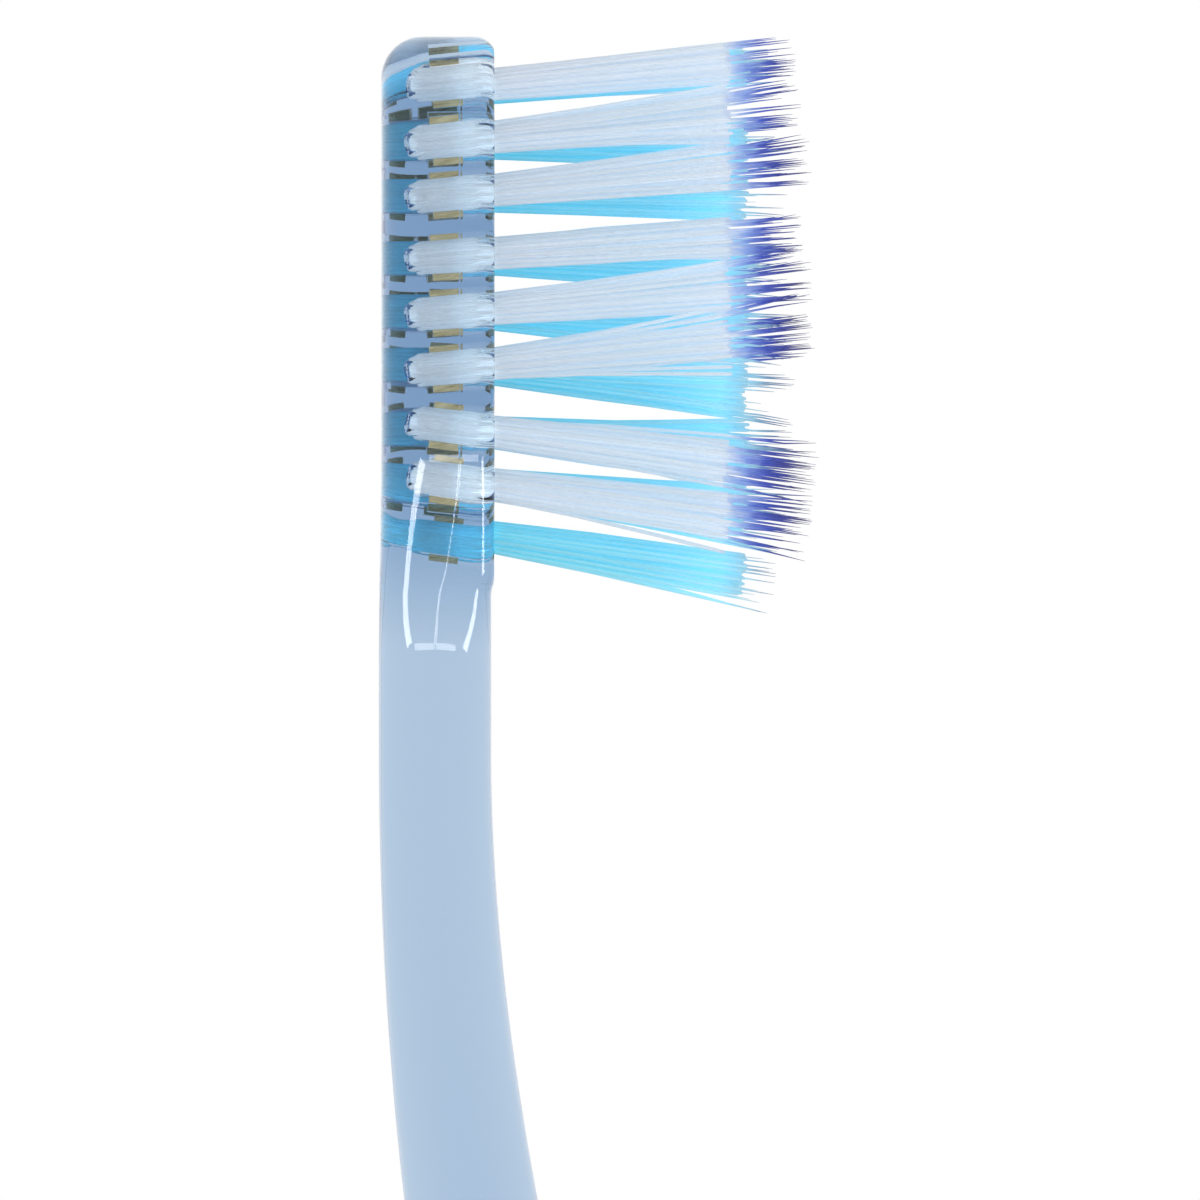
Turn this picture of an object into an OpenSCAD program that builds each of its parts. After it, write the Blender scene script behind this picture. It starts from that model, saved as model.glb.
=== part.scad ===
// Manual toothbrush lying on its back, bristles up.
// A clear one-piece handle carries three rows of tufts along its head.
// Each tuft is folded over a flat brass anchor that is driven into a blind hole.
// X runs from the tail to the toe, Z up through the bristles, and Y across.
// The origin is on the resting plane, below the middle of the brush.

/* [Brush] */
// Length along the spine, from toe to tail
brush_l = 178; // [165:1:195]
// Angle at which the head points up from the line of the grip
head_tilt = 9.5; // [5:0.5:13]
// Radius of the bend between neck and grip
bend_r = 128; // [100:1:150]

/* [Head] */
// Width of the head
head_w = 8.2; // [8.1:0.05:9.5]
// Thickness of the head, back to bristle face
head_t = 4.5; // [4.4:0.05:5.5]
// Length over which the toe rounds off in plan
toe_l = 4.4; // [4:0.1:4.8]
// Radius of the toe's back edge
toe_back_r = 1.7; // [1.3:0.1:2]
// Radius of the toe's edge on the bristle side
toe_face_r = 0.95; // [0.7:0.05:1.1]
// Station where the head starts to narrow
heel_s = 16.4; // [16:0.1:17]
// Station where the bristle face ends
face_end_s = 21.4; // [21.2:0.1:22]

/* [Neck] */
// Width of the neck
neck_w = 4.2; // [3.8:0.1:5]
// Thickness of the neck
neck_t = 4.5; // [4.2:0.02:4.6]
// How far the neck sits towards the back from the middle of the head
neck_drop = 0.09; // [0.06:0.01:0.15]
// Station where the head has narrowed to the neck
neck_s = 24.8; // [24:0.1:27]
// Station where the neck starts to bend
bend_s = 28.5; // [27:0.5:31]
// Station where the neck starts to swell into the grip
swell_s = 46.5; // [44:0.5:49]
// Width of the neck there
swell_w = 4.4; // [4:0.1:5.2]
// Thickness of the neck there
swell_t = 5.28; // [5:0.02:5.8]
// How far the swell sits towards the bristle side
swell_lift = 0.06; // [0:0.01:0.12]

/* [Grip] */
// Width across the thumb rest
thumb_w = 12.6; // [11:0.1:14]
// Height of the grip in front of the thumb rest
thumb_h = 8.2; // [7.6:0.1:9]
// Depth of the thumb rest's dish
dish_d = 0.7; // [0:0.1:1]
// Width at the waist behind the thumb rest
waist_w = 10.8; // [9.5:0.1:11]
// Width of the grip in the palm
palm_w = 12.4; // [11.5:0.1:14]
// Height of the grip in the palm
palm_h = 7.6; // [7:0.1:8.5]
// Height of the grip near the tail
tail_h = 6.2; // [5.5:0.1:7]
// Length over which the tail rounds off
tail_l = 5.5; // [4:0.5:7]
// Depth of the flat on the back, below the full round section
flat_d = 0.4; // [0.3:0.05:0.6]
// Number of shallow grooves across the thumb rest
grooves = 5; // [0:1:6]
// Depth of each groove
groove_d = 0.3; // [0.1:0.05:0.4]
// Radius of each groove's floor
groove_r = 1.5; // [1:0.1:2]
// Distance from one groove to the next
groove_pitch = 3.2; // [2.8:0.1:4]

/* [Tuft layout] */
// Distance between the rows
row_pitch = 2.4; // [2.3:0.05:2.45]
// How far the outer rows draw in at the toe's first tuft
toe_inset = 0.6; // [0.4:0.05:0.65]
// How far the inner row's first tuft sits back from its neighbours
toe_set_back = 0.1; // [0:0.02:0.14]
// Station of the first tuft of the toe group
toe_first = 1.98; // [1.95:0.01:2.1]
// Distance between the toe group's tufts
toe_pitch = 2.12; // [2.1:0.01:2.14]
// Station of the first tuft of the middle group
mid_first = 8.74; // [8.6:0.02:8.8]
// Distance between the middle group's tufts
mid_pitch = 2.2; // [2.16:0.01:2.22]
// Station of the first tuft of the heel group
heel_first = 15.86; // [15.8:0.02:16]
// Distance between the heel group's tufts
heel_pitch = 2.1; // [2.08:0.01:2.12]
// How far the rest of the inner row sits towards the heel
inner_shift = 0.2; // [0:0.05:0.25]
// Angle at which the outer toe tufts lean, towards the toe
toe_lean_angle = 5.4; // [3:0.1:6]
// Angle at which the inner row's first tuft leans, towards the toe
inner_toe_lean_angle = 5; // [3:0.1:6]
// Angle at which the outer middle tufts lean, towards the toe
mid_lean_angle = 4.1; // [3:0.1:5]
// Extra lean of each outer middle tuft over the last one
mid_lean_step = 0.6; // [0:0.1:0.7]
// Angle at which the outer heel tufts lean, towards the heel
heel_lean_angle = 7.2; // [5:0.1:8]
// Extra lean of each heel tuft over the last one
heel_lean_step = 0.6; // [0:0.1:1]

/* [Filaments] */
// Height of the white filaments' cut ends over the bristle face
white_l = 9.4; // [9:0.1:10]
// Height of the tapered tips in the outer rows
white_tip_l = 12.7; // [12:0.1:13.5]
// Height of the cyan filaments' cut ends over the bristle face
cyan_l = 10.1; // [9.5:0.1:10.5]
// Height of the tapered tips in the inner row
cyan_tip_l = 11.8; // [11.2:0.1:12.4]
// Width of one strand
strand_w = 0.22; // [0.16:0.01:0.22]
// Width of a tapered strand at its tip
tip_w = 0.06; // [0.04:0.01:0.1]
// Unevenness of the cut ends
uneven = 0.22; // [0:0.02:0.3]

/* [Holes and anchors] */
// Radius of a tuft hole at its mouth
hole_r = 0.72; // [0.7:0.01:0.76]
// Radius of a hole where its wall turns in to the floor
hole_deep_r = 0.67; // [0.58:0.01:0.68]
// Depth at which it turns in
hole_wall_l = 2.7; // [2.6:0.05:2.85]
// Full depth of a hole in the outer rows
hole_depth = 3.25; // [3.2:0.05:3.6]
// Full depth of a hole in the inner row
inner_hole_depth = 3.6; // [3.4:0.05:3.7]
// Radius of a hole's flat floor
hole_floor_r = 0.4; // [0.26:0.02:0.42]
// Length of an anchor, along the brush
anchor_l = 1.84; // [1.76:0.01:1.86]
// Thickness of an anchor
anchor_t = 0.3; // [0.2:0.01:0.34]
// Height of an anchor
anchor_h = 1.14; // [1:0.02:1.2]
// Depth of an anchor's upper edge below the bristle face
anchor_drop = 1.34; // [1.2:0.02:1.45]
// Clearance round an anchor and between a tuft's root and its hole
fit_gap = 0.02; // [0.01:0.005:0.03]

/* [Hidden] */
// Tufts stand in groups of three columns, and only the inner row has the ninth.
group_n = 3;
outer_columns = 8;
inner_columns = 9;

ROWS = ["left", "middle", "right"];

// Shares of the section's thickness, from the back to the line where it is widest
head_parting_share = 0.68;
grip_parting_share = 0.5;
// Shares of the grip's length, from the swell to the tail
shoulder_share = 0.14;
thumb_share = 0.33;
waist_share = 0.52;
palm_share = 0.76;
// Shares of a width or a height
shoulder_w_share = 0.72;
tail_w_share = 0.84;
shoulder_h_share = 0.78;
dish_share = 0.08;
back_swell_share = 0.42;

// Powers of the outlines: 2 is an ellipse, and more is squarer
toe_power = 2.1;
head_back_power = 4;
head_face_power = 6;
neck_power = 3.4;
grip_power = 2.4;

// The blank stands a little proud of the bristle face, which is then cut flat.
face_proud = 0.12;
face_run_out = 0.9;
cut_over = 1;
sides = 28;
toe_rings = 8;
head_rings = 4;
heel_rings = 10;
neck_rings = 3;
bend_rings = 9;
grip_rings = 24;
tail_rings = 8;
// The first and last rings stop just short of the rounded ends.
end_angle = 9;

round_fn = 48;
outer_strands = 11;
inner_strands = 5;
outer_ring_share = 0.77;
inner_ring_share = 0.38;
white_fan_share = 0.34;
cyan_fan_share = 0.48;
// Strands grow out of the root from below its top.
strand_bury = 0.3;
root_drop = 0.06;
strand_sides = 4;
jitter_turn = 137.5;

clear_blue = [0.68, 0.78, 0.9, 0.5];
white_filament = [0.84, 0.89, 0.95];
cyan_filament = [0.38, 0.8, 0.94];
brass = [0.78, 0.7, 0.5];

// Values along the spine

bend_l = bend_r * head_tilt * PI / 180;
bend_end_s = bend_s + bend_l;
grip_l = brush_l - swell_s;
grip_back = palm_h / 2;
spine_z = grip_back - flat_d;
shoulder_s = swell_s + shoulder_share * grip_l;
thumb_s = swell_s + thumb_share * grip_l;
waist_s = swell_s + waist_share * grip_l;
palm_s = swell_s + palm_share * grip_l;
face_h = head_t / 2;

// Tilt of the spine at a station: the head's own, then fading to nothing round the bend
function tilt_at(s) =
    s <= bend_s ? head_tilt
    : s >= bend_end_s ? 0
    : head_tilt * (bend_end_s - s) / bend_l;

// Way along X from the bend's end to a station
function spine_x(s) =
    s >= bend_end_s ? bend_end_s - s
    : bend_r * sin(tilt_at(s)) + max(bend_s - s, 0) * cos(head_tilt);

// Height of the spine at a station over its straight part
function spine_rise(s) =
    s >= bend_end_s ? 0
    : bend_r * (1 - cos(tilt_at(s))) + max(bend_s - s, 0) * sin(head_tilt);

// The middle of the brush between the toe's and the tail's outermost points
toe_reach = spine_x(0) + (face_h - toe_back_r) * sin(head_tilt) + toe_back_r * (1 - cos(head_tilt));
mid_x = (toe_reach + spine_x(brush_l)) / 2;

// Point at a station, so far across and so far up from the spine
function at_spine(s, across, up) = [
    spine_x(s) - up * sin(tilt_at(s)) - mid_x,
    across,
    spine_z + spine_rise(s) + up * cos(tilt_at(s))
];

// A smooth curve through [station, value] pairs, level at its ends and at each peak and dip
function rise(pts, i) = (pts[i + 1][1] - pts[i][1]) / (pts[i + 1][0] - pts[i][0]);
function slope_at(pts, i) =
    i <= 0 || i >= len(pts) - 1 ? 0
    : rise(pts, i - 1) * rise(pts, i) <= 0 ? 0
    : 2 * rise(pts, i - 1) * rise(pts, i) / (rise(pts, i - 1) + rise(pts, i));
function blend(pts, i, t) =
    let (run = pts[i + 1][0] - pts[i][0])
    (2 * t * t * t - 3 * t * t + 1) * pts[i][1]
    + (t * t * t - 2 * t * t + t) * run * slope_at(pts, i)
    + (3 * t * t - 2 * t * t * t) * pts[i + 1][1]
    + (t * t * t - t * t) * run * slope_at(pts, i + 1);
function along(pts, s, i = 0) =
    s <= pts[0][0] ? pts[0][1]
    : i >= len(pts) - 1 ? pts[len(pts) - 1][1]
    : s < pts[i + 1][0] ? blend(pts, i, (s - pts[i][0]) / (pts[i + 1][0] - pts[i][0]))
    : along(pts, s, i + 1);

// Half the width in plan, before the ends round off
plan_pts = [
    [heel_s, head_w / 2],
    [neck_s, neck_w / 2],
    [bend_s, neck_w / 2],
    [swell_s, swell_w / 2],
    [shoulder_s, thumb_w / 2 * shoulder_w_share],
    [thumb_s, thumb_w / 2],
    [waist_s, waist_w / 2],
    [palm_s, palm_w / 2],
    [brush_l, palm_w / 2 * tail_w_share]
];
// From the spine down to the back
back_pts = [
    [neck_s, neck_t / 2 + neck_drop],
    [bend_s, neck_t / 2 + neck_drop],
    [swell_s, swell_t / 2 - swell_lift],
    [shoulder_s, swell_t / 2 + (grip_back - swell_t / 2) * (1 - back_swell_share * back_swell_share)],
    [thumb_s, grip_back]
];
// From the spine up to the bristle side
face_pts = [
    [face_end_s, face_h + face_proud],
    [face_end_s + face_run_out, neck_t / 2 - neck_drop],
    [bend_s, neck_t / 2 - neck_drop],
    [swell_s, swell_t / 2 + swell_lift],
    [shoulder_s, (thumb_h - spine_z) * shoulder_h_share],
    [thumb_s - dish_share * grip_l, thumb_h - spine_z],
    [thumb_s, thumb_h - spine_z - dish_d],
    [waist_s, palm_h - spine_z],
    [palm_s, palm_h - spine_z],
    [brush_l, tail_h - spine_z]
];
parting_pts = [
    [heel_s, head_parting_share],
    [neck_s, grip_parting_share]
];
back_power_pts = [
    [heel_s, head_back_power],
    [face_end_s, head_back_power],
    [neck_s, neck_power],
    [shoulder_s, grip_power]
];
face_power_pts = [
    [heel_s, head_face_power],
    [face_end_s, head_face_power],
    [neck_s, neck_power],
    [shoulder_s, grip_power]
];

// How full the outline is at the rounded ends
function toe_full(s) =
    s >= toe_l ? 1 : pow(1 - pow((toe_l - s) / toe_l, toe_power), 1 / toe_power);
function tail_full(s) =
    s <= brush_l - tail_l ? 1 : sqrt(1 - pow((s - brush_l + tail_l) / tail_l, 2));
function corner_drop(s, r) = s >= r ? 0 : r - sqrt(r * r - (r - s) * (r - s));
function half_w(s) = along(plan_pts, s) * toe_full(s) * tail_full(s);
function back_at(s) =
    (s < heel_s ? face_h : along(concat([[heel_s, face_h]], back_pts), s)) * sqrt(tail_full(s))
    - corner_drop(s, toe_back_r);
function face_at(s) = along(face_pts, s) * sqrt(tail_full(s)) - corner_drop(s, toe_face_r);

function signed_pow(v, p) = sign(v) * pow(abs(v), p);

// Closed section at a station: one power curve towards the back and one towards the face
function section(s) =
    let (
        low = -back_at(s),
        high = face_at(s),
        parting = low + (high - low) * along(parting_pts, s)
    )
    [for (k = [0:sides - 1])
        let (
            turn = 360 * k / sides,
            up = sin(turn) >= 0,
            power = 2 / along(up ? face_power_pts : back_power_pts, s)
        )
        at_spine(
            s,
            half_w(s) * signed_pow(cos(turn), power),
            parting + (up ? high - parting : parting - low) * signed_pow(sin(turn), power)
        )
    ];

function run(from, to, n) = [for (i = [0:n - 1]) from + (to - from) * i / n];

// Stations of all sections, closer together where the outline turns quickly
stations = concat(
    [for (i = [0:toe_rings - 1]) toe_l * (1 - cos(end_angle + (90 - end_angle) * i / toe_rings))],
    run(toe_l, heel_s, head_rings),
    run(heel_s, neck_s, heel_rings),
    run(neck_s, bend_s, neck_rings),
    run(bend_s, bend_end_s, bend_rings),
    run(bend_end_s, brush_l - tail_l, grip_rings),
    [for (i = [0:tail_rings]) brush_l - tail_l + tail_l * sin((90 - end_angle) * i / tail_rings)]
);

// Closed skin over a list of rings with the same number of points, as triangles
module skin(rings) {
    n = len(rings[0]);
    last = len(rings) - 1;
    polyhedron(
        points = [for (ring = rings) each ring],
        faces = concat(
            [for (i = [0:last - 1]) for (k = [0:n - 1]) [i * n + k, i * n + (k + 1) % n, (i + 1) * n + k]],
            [for (i = [0:last - 1]) for (k = [0:n - 1])
                [i * n + (k + 1) % n, (i + 1) * n + (k + 1) % n, (i + 1) * n + k]],
            [for (k = [1:n - 2]) [0, k + 1, k]],
            [for (k = [1:n - 2]) [last * n, last * n + k, last * n + k + 1]]
        )
    );
}

// Places of the tufts

function columns(row) = row == "middle" ? inner_columns : outer_columns;
function group_of(col) = floor((col - 1) / group_n);
function in_group(col) = (col - 1) % group_n;
function outer_station(col) =
    [toe_first, mid_first, heel_first][group_of(col)]
    + in_group(col) * [toe_pitch, mid_pitch, heel_pitch][group_of(col)];
function station_of(row, col) =
    outer_station(col)
    + (row != "middle" || group_of(col) > 1 ? 0 : col == 1 ? toe_set_back : inner_shift);
function across_of(row, col) =
    (row == "left" ? 1 : row == "right" ? -1 : 0) * (row_pitch - (col == 1 ? toe_inset : 0));

// Lean of a tuft, positive towards the heel. The inner row stands straighter than the outer rows.
inner_leans = [-1, 0.8, 3];
inner_lean_steps = [0.5, 1.6, 2.6];
function lean_of(row, col) =
    row == "middle" && col == 1
    ? -inner_toe_lean_angle
    : row == "middle"
    ? inner_leans[group_of(col)] + in_group(col) * inner_lean_steps[group_of(col)]
    : [
        -toe_lean_angle,
        -mid_lean_angle - in_group(col) * mid_lean_step,
        heel_lean_angle + in_group(col) * heel_lean_step
    ][group_of(col)];

// Puts the children's origin in a tuft hole's mouth, with Z out along the tuft
module at_tuft(row, col) {
    translate(at_spine(0, 0, 0))
        rotate([0, -head_tilt, 0])
        translate([-station_of(row, col), across_of(row, col), face_h])
        rotate([0, -lean_of(row, col), 0])
        children();
}

// Radius of a hole's drafted wall at a height over the mouth
function bore_r(z) = hole_r + z * (hole_r - hole_deep_r) / hole_wall_l;

function depth_of(row) = row == "middle" ? inner_hole_depth : hole_depth;

// Blind hole, or with a gap the root that fills it
module bore_form(depth, top, gap) {
    rotate_extrude($fn = round_fn)
        polygon([
            [0, top],
            [bore_r(top) - gap, top],
            [hole_deep_r - gap, -hole_wall_l],
            [hole_floor_r - gap, -depth + gap],
            [0, -depth + gap]
        ]);
}

// Block of an anchor, grown by a gap all round and upwards to a height
module anchor_form(gap, top) {
    translate([-anchor_l / 2 - gap, -anchor_t / 2 - gap, -anchor_drop - anchor_h - gap])
        cube([anchor_l + 2 * gap, anchor_t + 2 * gap, anchor_drop + anchor_h + gap + top]);
}

module handle() {
    color(clear_blue)
    difference() {
        skin([for (s = stations) section(s)]);
        // Bristle face
        translate(at_spine(0, 0, 0))
            rotate([0, -head_tilt, 0])
            translate([-face_end_s - face_run_out - cut_over, -head_w, face_h])
            cube([face_end_s + face_run_out + 2 * cut_over, 2 * head_w, head_t]);
        // Flat on the back
        translate([-brush_l, -palm_w, -head_w])
            cube([2 * brush_l, 2 * palm_w, head_w]);
        for (row = ROWS) {
            for (col = [1:columns(row)]) {
                at_tuft(row, col) {
                    bore_form(depth_of(row), cut_over, 0);
                    anchor_form(fit_gap, cut_over);
                }
            }
        }
        if (grooves > 0) {
            for (i = [0:grooves - 1]) {
                groove(thumb_s + (i - (grooves - 1) / 2) * groove_pitch);
            }
        }
    }
}

// Round-bottomed cut across the grip's front
module groove(s) {
    translate(at_spine(s, 0, face_at(s) + groove_r - groove_d))
        rotate([90, 0, 0])
        cylinder(r = groove_r, h = 2 * thumb_w, center = true, $fn = round_fn);
}

// One tapered strand: rings of corners at given heights, drifting outward as it rises
module strand(foot, fan, heights, widths, turn) {
    skin([for (i = [len(heights) - 1:-1:0])
        [for (k = [0:strand_sides - 1])
            let (
                spin = turn + 45 + 360 * k / strand_sides,
                place = foot * (1 + fan * max(heights[i], 0)),
                reach = widths[i] / sqrt(2)
            )
            [place[0] + reach * cos(spin), place[1] + reach * sin(spin), heights[i]]
        ]
    ]);
}

// Root with its strands; every second strand is long and tapered
module tuft(row, col) {
    inner = row == "middle";
    cut_l = inner ? cyan_l : white_l;
    tip_l = inner ? cyan_tip_l : white_tip_l;
    fan = (inner ? cyan_fan_share : white_fan_share) / tip_l;
    color(inner ? cyan_filament : white_filament)
    at_tuft(row, col) {
        difference() {
            bore_form(depth_of(row), -root_drop, fit_gap);
            anchor_form(fit_gap, fit_gap - anchor_drop);
        }
        for (k = [0:outer_strands + inner_strands - 1]) {
            outside = k < outer_strands;
            i = outside ? k : k - outer_strands;
            turn = 360 * i / (outside ? outer_strands : inner_strands);
            r = hole_r * (outside ? outer_ring_share : inner_ring_share);
            off = uneven * sin(jitter_turn * (k + 1) * (col + 1));
            if (i % 2 == 0) {
                strand(
                    [r * cos(turn), r * sin(turn)], fan,
                    [-strand_bury, cut_l, tip_l + off], [strand_w, strand_w, tip_w], turn
                );
            } else {
                strand(
                    [r * cos(turn), r * sin(turn)], fan,
                    [-strand_bury, cut_l + off], [strand_w, strand_w], turn
                );
            }
        }
    }
}

// Flat brass block across the fold of a tuft
module anchor(row, col) {
    color(brass)
    at_tuft(row, col)
    anchor_form(0, -anchor_drop);
}

handle();
for (row = ROWS) {
    for (col = [1:columns(row)]) {
        tuft(row, col);
        anchor(row, col);
    }
}
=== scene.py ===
"""Looks of a clear manual toothbrush, lying on its back with its bristles up.

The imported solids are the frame. The handle and the tufts get fuller surfaces in the same places,
and the brass anchors keep their own. Sizes are in millimetres until a mesh is written.
"""

import logging
import math
from dataclasses import dataclass, field, replace
from enum import Enum

import bmesh
import bpy
import numpy as np
from mathutils import Matrix, Vector
from mathutils.geometry import delaunay_2d_cdt


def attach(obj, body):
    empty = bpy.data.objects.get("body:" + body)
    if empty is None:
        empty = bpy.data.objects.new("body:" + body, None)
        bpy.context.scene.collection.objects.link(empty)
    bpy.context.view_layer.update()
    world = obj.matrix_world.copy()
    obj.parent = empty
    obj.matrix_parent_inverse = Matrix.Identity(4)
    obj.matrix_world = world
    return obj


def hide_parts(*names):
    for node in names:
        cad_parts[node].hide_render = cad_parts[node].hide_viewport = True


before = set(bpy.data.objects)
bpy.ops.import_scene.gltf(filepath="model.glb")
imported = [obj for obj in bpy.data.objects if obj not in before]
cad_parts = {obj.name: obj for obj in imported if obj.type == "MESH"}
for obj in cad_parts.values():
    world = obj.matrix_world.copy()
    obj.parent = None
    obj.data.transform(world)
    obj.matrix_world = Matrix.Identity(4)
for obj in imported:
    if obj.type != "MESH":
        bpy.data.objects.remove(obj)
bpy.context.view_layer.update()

MM = 0.001
BODY = "root"
MERGE_GAP = 1e-6
HARD_ANGLE = math.radians(35)
NOISE_LOW, NOISE_HIGH = 0.3, 0.7
LOG = logging.getLogger("brush")

Colour = tuple[float, float, float]
Rgba = tuple[float, float, float, float]
Grain = tuple[float, float, float]

WHITE: Rgba = (1.0, 1.0, 1.0, 1.0)


def srgb(colour: Colour) -> Rgba:
    """Linear colour of a display colour.

    A dark share of 255 is divided by 12.92, and any other is raised to 2.4 after an offset.

    Args:
        colour: Red, green and blue from 0 to 255.

    Returns:
        Red, green and blue from 0 to 1, and a full fourth value.
    """
    shares = [value / 255 for value in colour]
    linear = [v / 12.92 if v <= 0.04045 else ((v + 0.055) / 1.055) ** 2.4 for v in shares]
    return (*linear, 1.0)


class Course:
    """A smooth curve through (station, value) pairs, level at its ends and at each peak and dip."""

    def __init__(self, *pairs: tuple[float, float]) -> None:
        """Keeps the pairs and works out the slope at each.

        Args:
            pairs: Station and value, in order of station.
        """
        self.stations, self.values = (np.array(column, float) for column in zip(*pairs))
        runs = np.diff(self.values) / np.diff(self.stations)
        before, after = runs[:-1], runs[1:]
        level = before * after <= 0
        total = np.where(level, 1.0, before + after)
        self.slopes = np.zeros(len(self.values))
        self.slopes[1:-1] = np.where(level, 0.0, 2 * before * after / total)

    def __call__(self, station: np.ndarray) -> np.ndarray:
        """Value at each station: a cubic in each span that keeps its end values and slopes.

        Args:
            station: Stations, which count as the nearest end where they lie past it.

        Returns:
            The values.
        """
        s = np.clip(np.asarray(station, float), self.stations[0], self.stations[-1])
        i = np.clip(np.searchsorted(self.stations, s, side="right") - 1, 0, len(self.values) - 2)
        span = self.stations[i + 1] - self.stations[i]
        t = (s - self.stations[i]) / span
        return (
            (2 * t**3 - 3 * t**2 + 1) * self.values[i]
            + (t**3 - 2 * t**2 + t) * span * self.slopes[i]
            + (3 * t**2 - 2 * t**3) * self.values[i + 1]
            + (t**3 - t**2) * span * self.slopes[i + 1]
        )


@dataclass(frozen=True)
class Spine:
    """Line through the middle of the brush: a straight head and neck, a bend, a straight grip."""

    length: float = 178.0
    head_tilt: float = math.radians(9.5)
    bend_radius: float = 128.0
    bend_start: float = 28.5
    rest_height: float = 3.4
    head_half: float = 2.25
    toe_back_radius: float = 1.7

    @property
    def bend_end(self) -> float:
        """Station where the bend ends: its start and the arc's length."""
        return self.bend_start + self.bend_radius * self.head_tilt

    @property
    def toeward(self) -> np.ndarray:
        """Direction along the head, from the heel to the toe."""
        return np.array([math.cos(self.head_tilt), 0.0, math.sin(self.head_tilt)])

    @property
    def outward(self) -> np.ndarray:
        """Direction out of the bristle face."""
        return np.array([-math.sin(self.head_tilt), 0.0, math.cos(self.head_tilt)])

    def tilt(self, s: np.ndarray) -> np.ndarray:
        """Tilt at a station: the head's own, fading evenly to nothing round the bend."""
        share = (self.bend_end - np.asarray(s, float)) / (self.bend_end - self.bend_start)
        return self.head_tilt * np.clip(share, 0, 1)

    def reach(self, s: np.ndarray) -> np.ndarray:
        """Way along X from the bend's end to a station: straight, then arc, then straight.

        Args:
            s: Stations from the toe.

        Returns:
            Distances, negative towards the tail.
        """
        s = np.asarray(s, float)
        ahead = np.maximum(self.bend_start - s, 0) * math.cos(self.head_tilt)
        curved = self.bend_radius * np.sin(self.tilt(s)) + ahead
        return np.where(s >= self.bend_end, self.bend_end - s, curved)

    def rise(self, s: np.ndarray) -> np.ndarray:
        """Height of the spine at a station over its straight part, by the same three parts.

        Args:
            s: Stations from the toe.

        Returns:
            Heights.
        """
        s = np.asarray(s, float)
        ahead = np.maximum(self.bend_start - s, 0) * math.sin(self.head_tilt)
        return np.where(
            s >= self.bend_end, 0.0, self.bend_radius * (1 - np.cos(self.tilt(s))) + ahead
        )

    @property
    def middle(self) -> float:
        """Way along X, from the bend's end, to the middle between the toe and the tail."""
        toe = (
            float(self.reach(0.0))
            + (self.head_half - self.toe_back_radius) * math.sin(self.head_tilt)
            + self.toe_back_radius * (1 - math.cos(self.head_tilt))
        )
        return (toe + float(self.reach(self.length))) / 2

    def point(self, s: np.ndarray, across: np.ndarray, up: np.ndarray) -> np.ndarray:
        """Points at stations, so far across and so far up from the spine.

        Args:
            s: Stations from the toe.
            across: Distance across, along Y.
            up: Distance from the spine, at right angles to it.

        Returns:
            The points, with the coordinates along the last axis.
        """
        s, across, up = np.broadcast_arrays(*(np.asarray(v, float) for v in (s, across, up)))
        tilt = self.tilt(s)
        x = self.reach(s) - up * np.sin(tilt) - self.middle
        z = self.rest_height + self.rise(s) + up * np.cos(tilt)
        return np.stack([x, across, z], axis=-1)


class Row(Enum):
    """The three rows of tufts, named from the tail, and the side of the middle they stand on."""

    LEFT = 1
    MIDDLE = 0
    RIGHT = -1

    @property
    def label(self) -> str:
        """Name of the row as it stands in the nodes' names."""
        return self.name.lower()

    @property
    def columns(self) -> int:
        """Number of tufts: the inner row has one more, at the heel."""
        return 9 if self is Row.MIDDLE else 8


@dataclass(frozen=True)
class TuftPlace:
    """Place of one tuft hole: the middle of its mouth on the bristle face, and its lean."""

    row: Row
    column: int
    station: float
    across: float
    lean: float
    spine: Spine

    @property
    def label(self) -> str:
        """Name of the place, such as left_3."""
        return f"{self.row.label}_{self.column}"

    def point(self, local: np.ndarray) -> np.ndarray:
        """Points given in the hole's own directions: along the brush, across, and out.

        Args:
            local: Points, with the coordinates along the last axis.

        Returns:
            The points in the brush's directions.
        """
        turn = self.spine.head_tilt + self.lean
        axes = np.array(
            [
                [math.cos(turn), 0.0, math.sin(turn)],
                [0.0, 1.0, 0.0],
                [-math.sin(turn), 0.0, math.cos(turn)],
            ]
        )
        origin = self.spine.point(self.station, self.across, self.spine.head_half)
        return origin + np.asarray(local, float) @ axes

    def on_face(self, along: np.ndarray, across: np.ndarray) -> tuple[np.ndarray, np.ndarray]:
        """Station and distance across of points in the hole's mouth, which lies in the face."""
        return self.station - along / math.cos(self.lean), self.across + across


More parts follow.
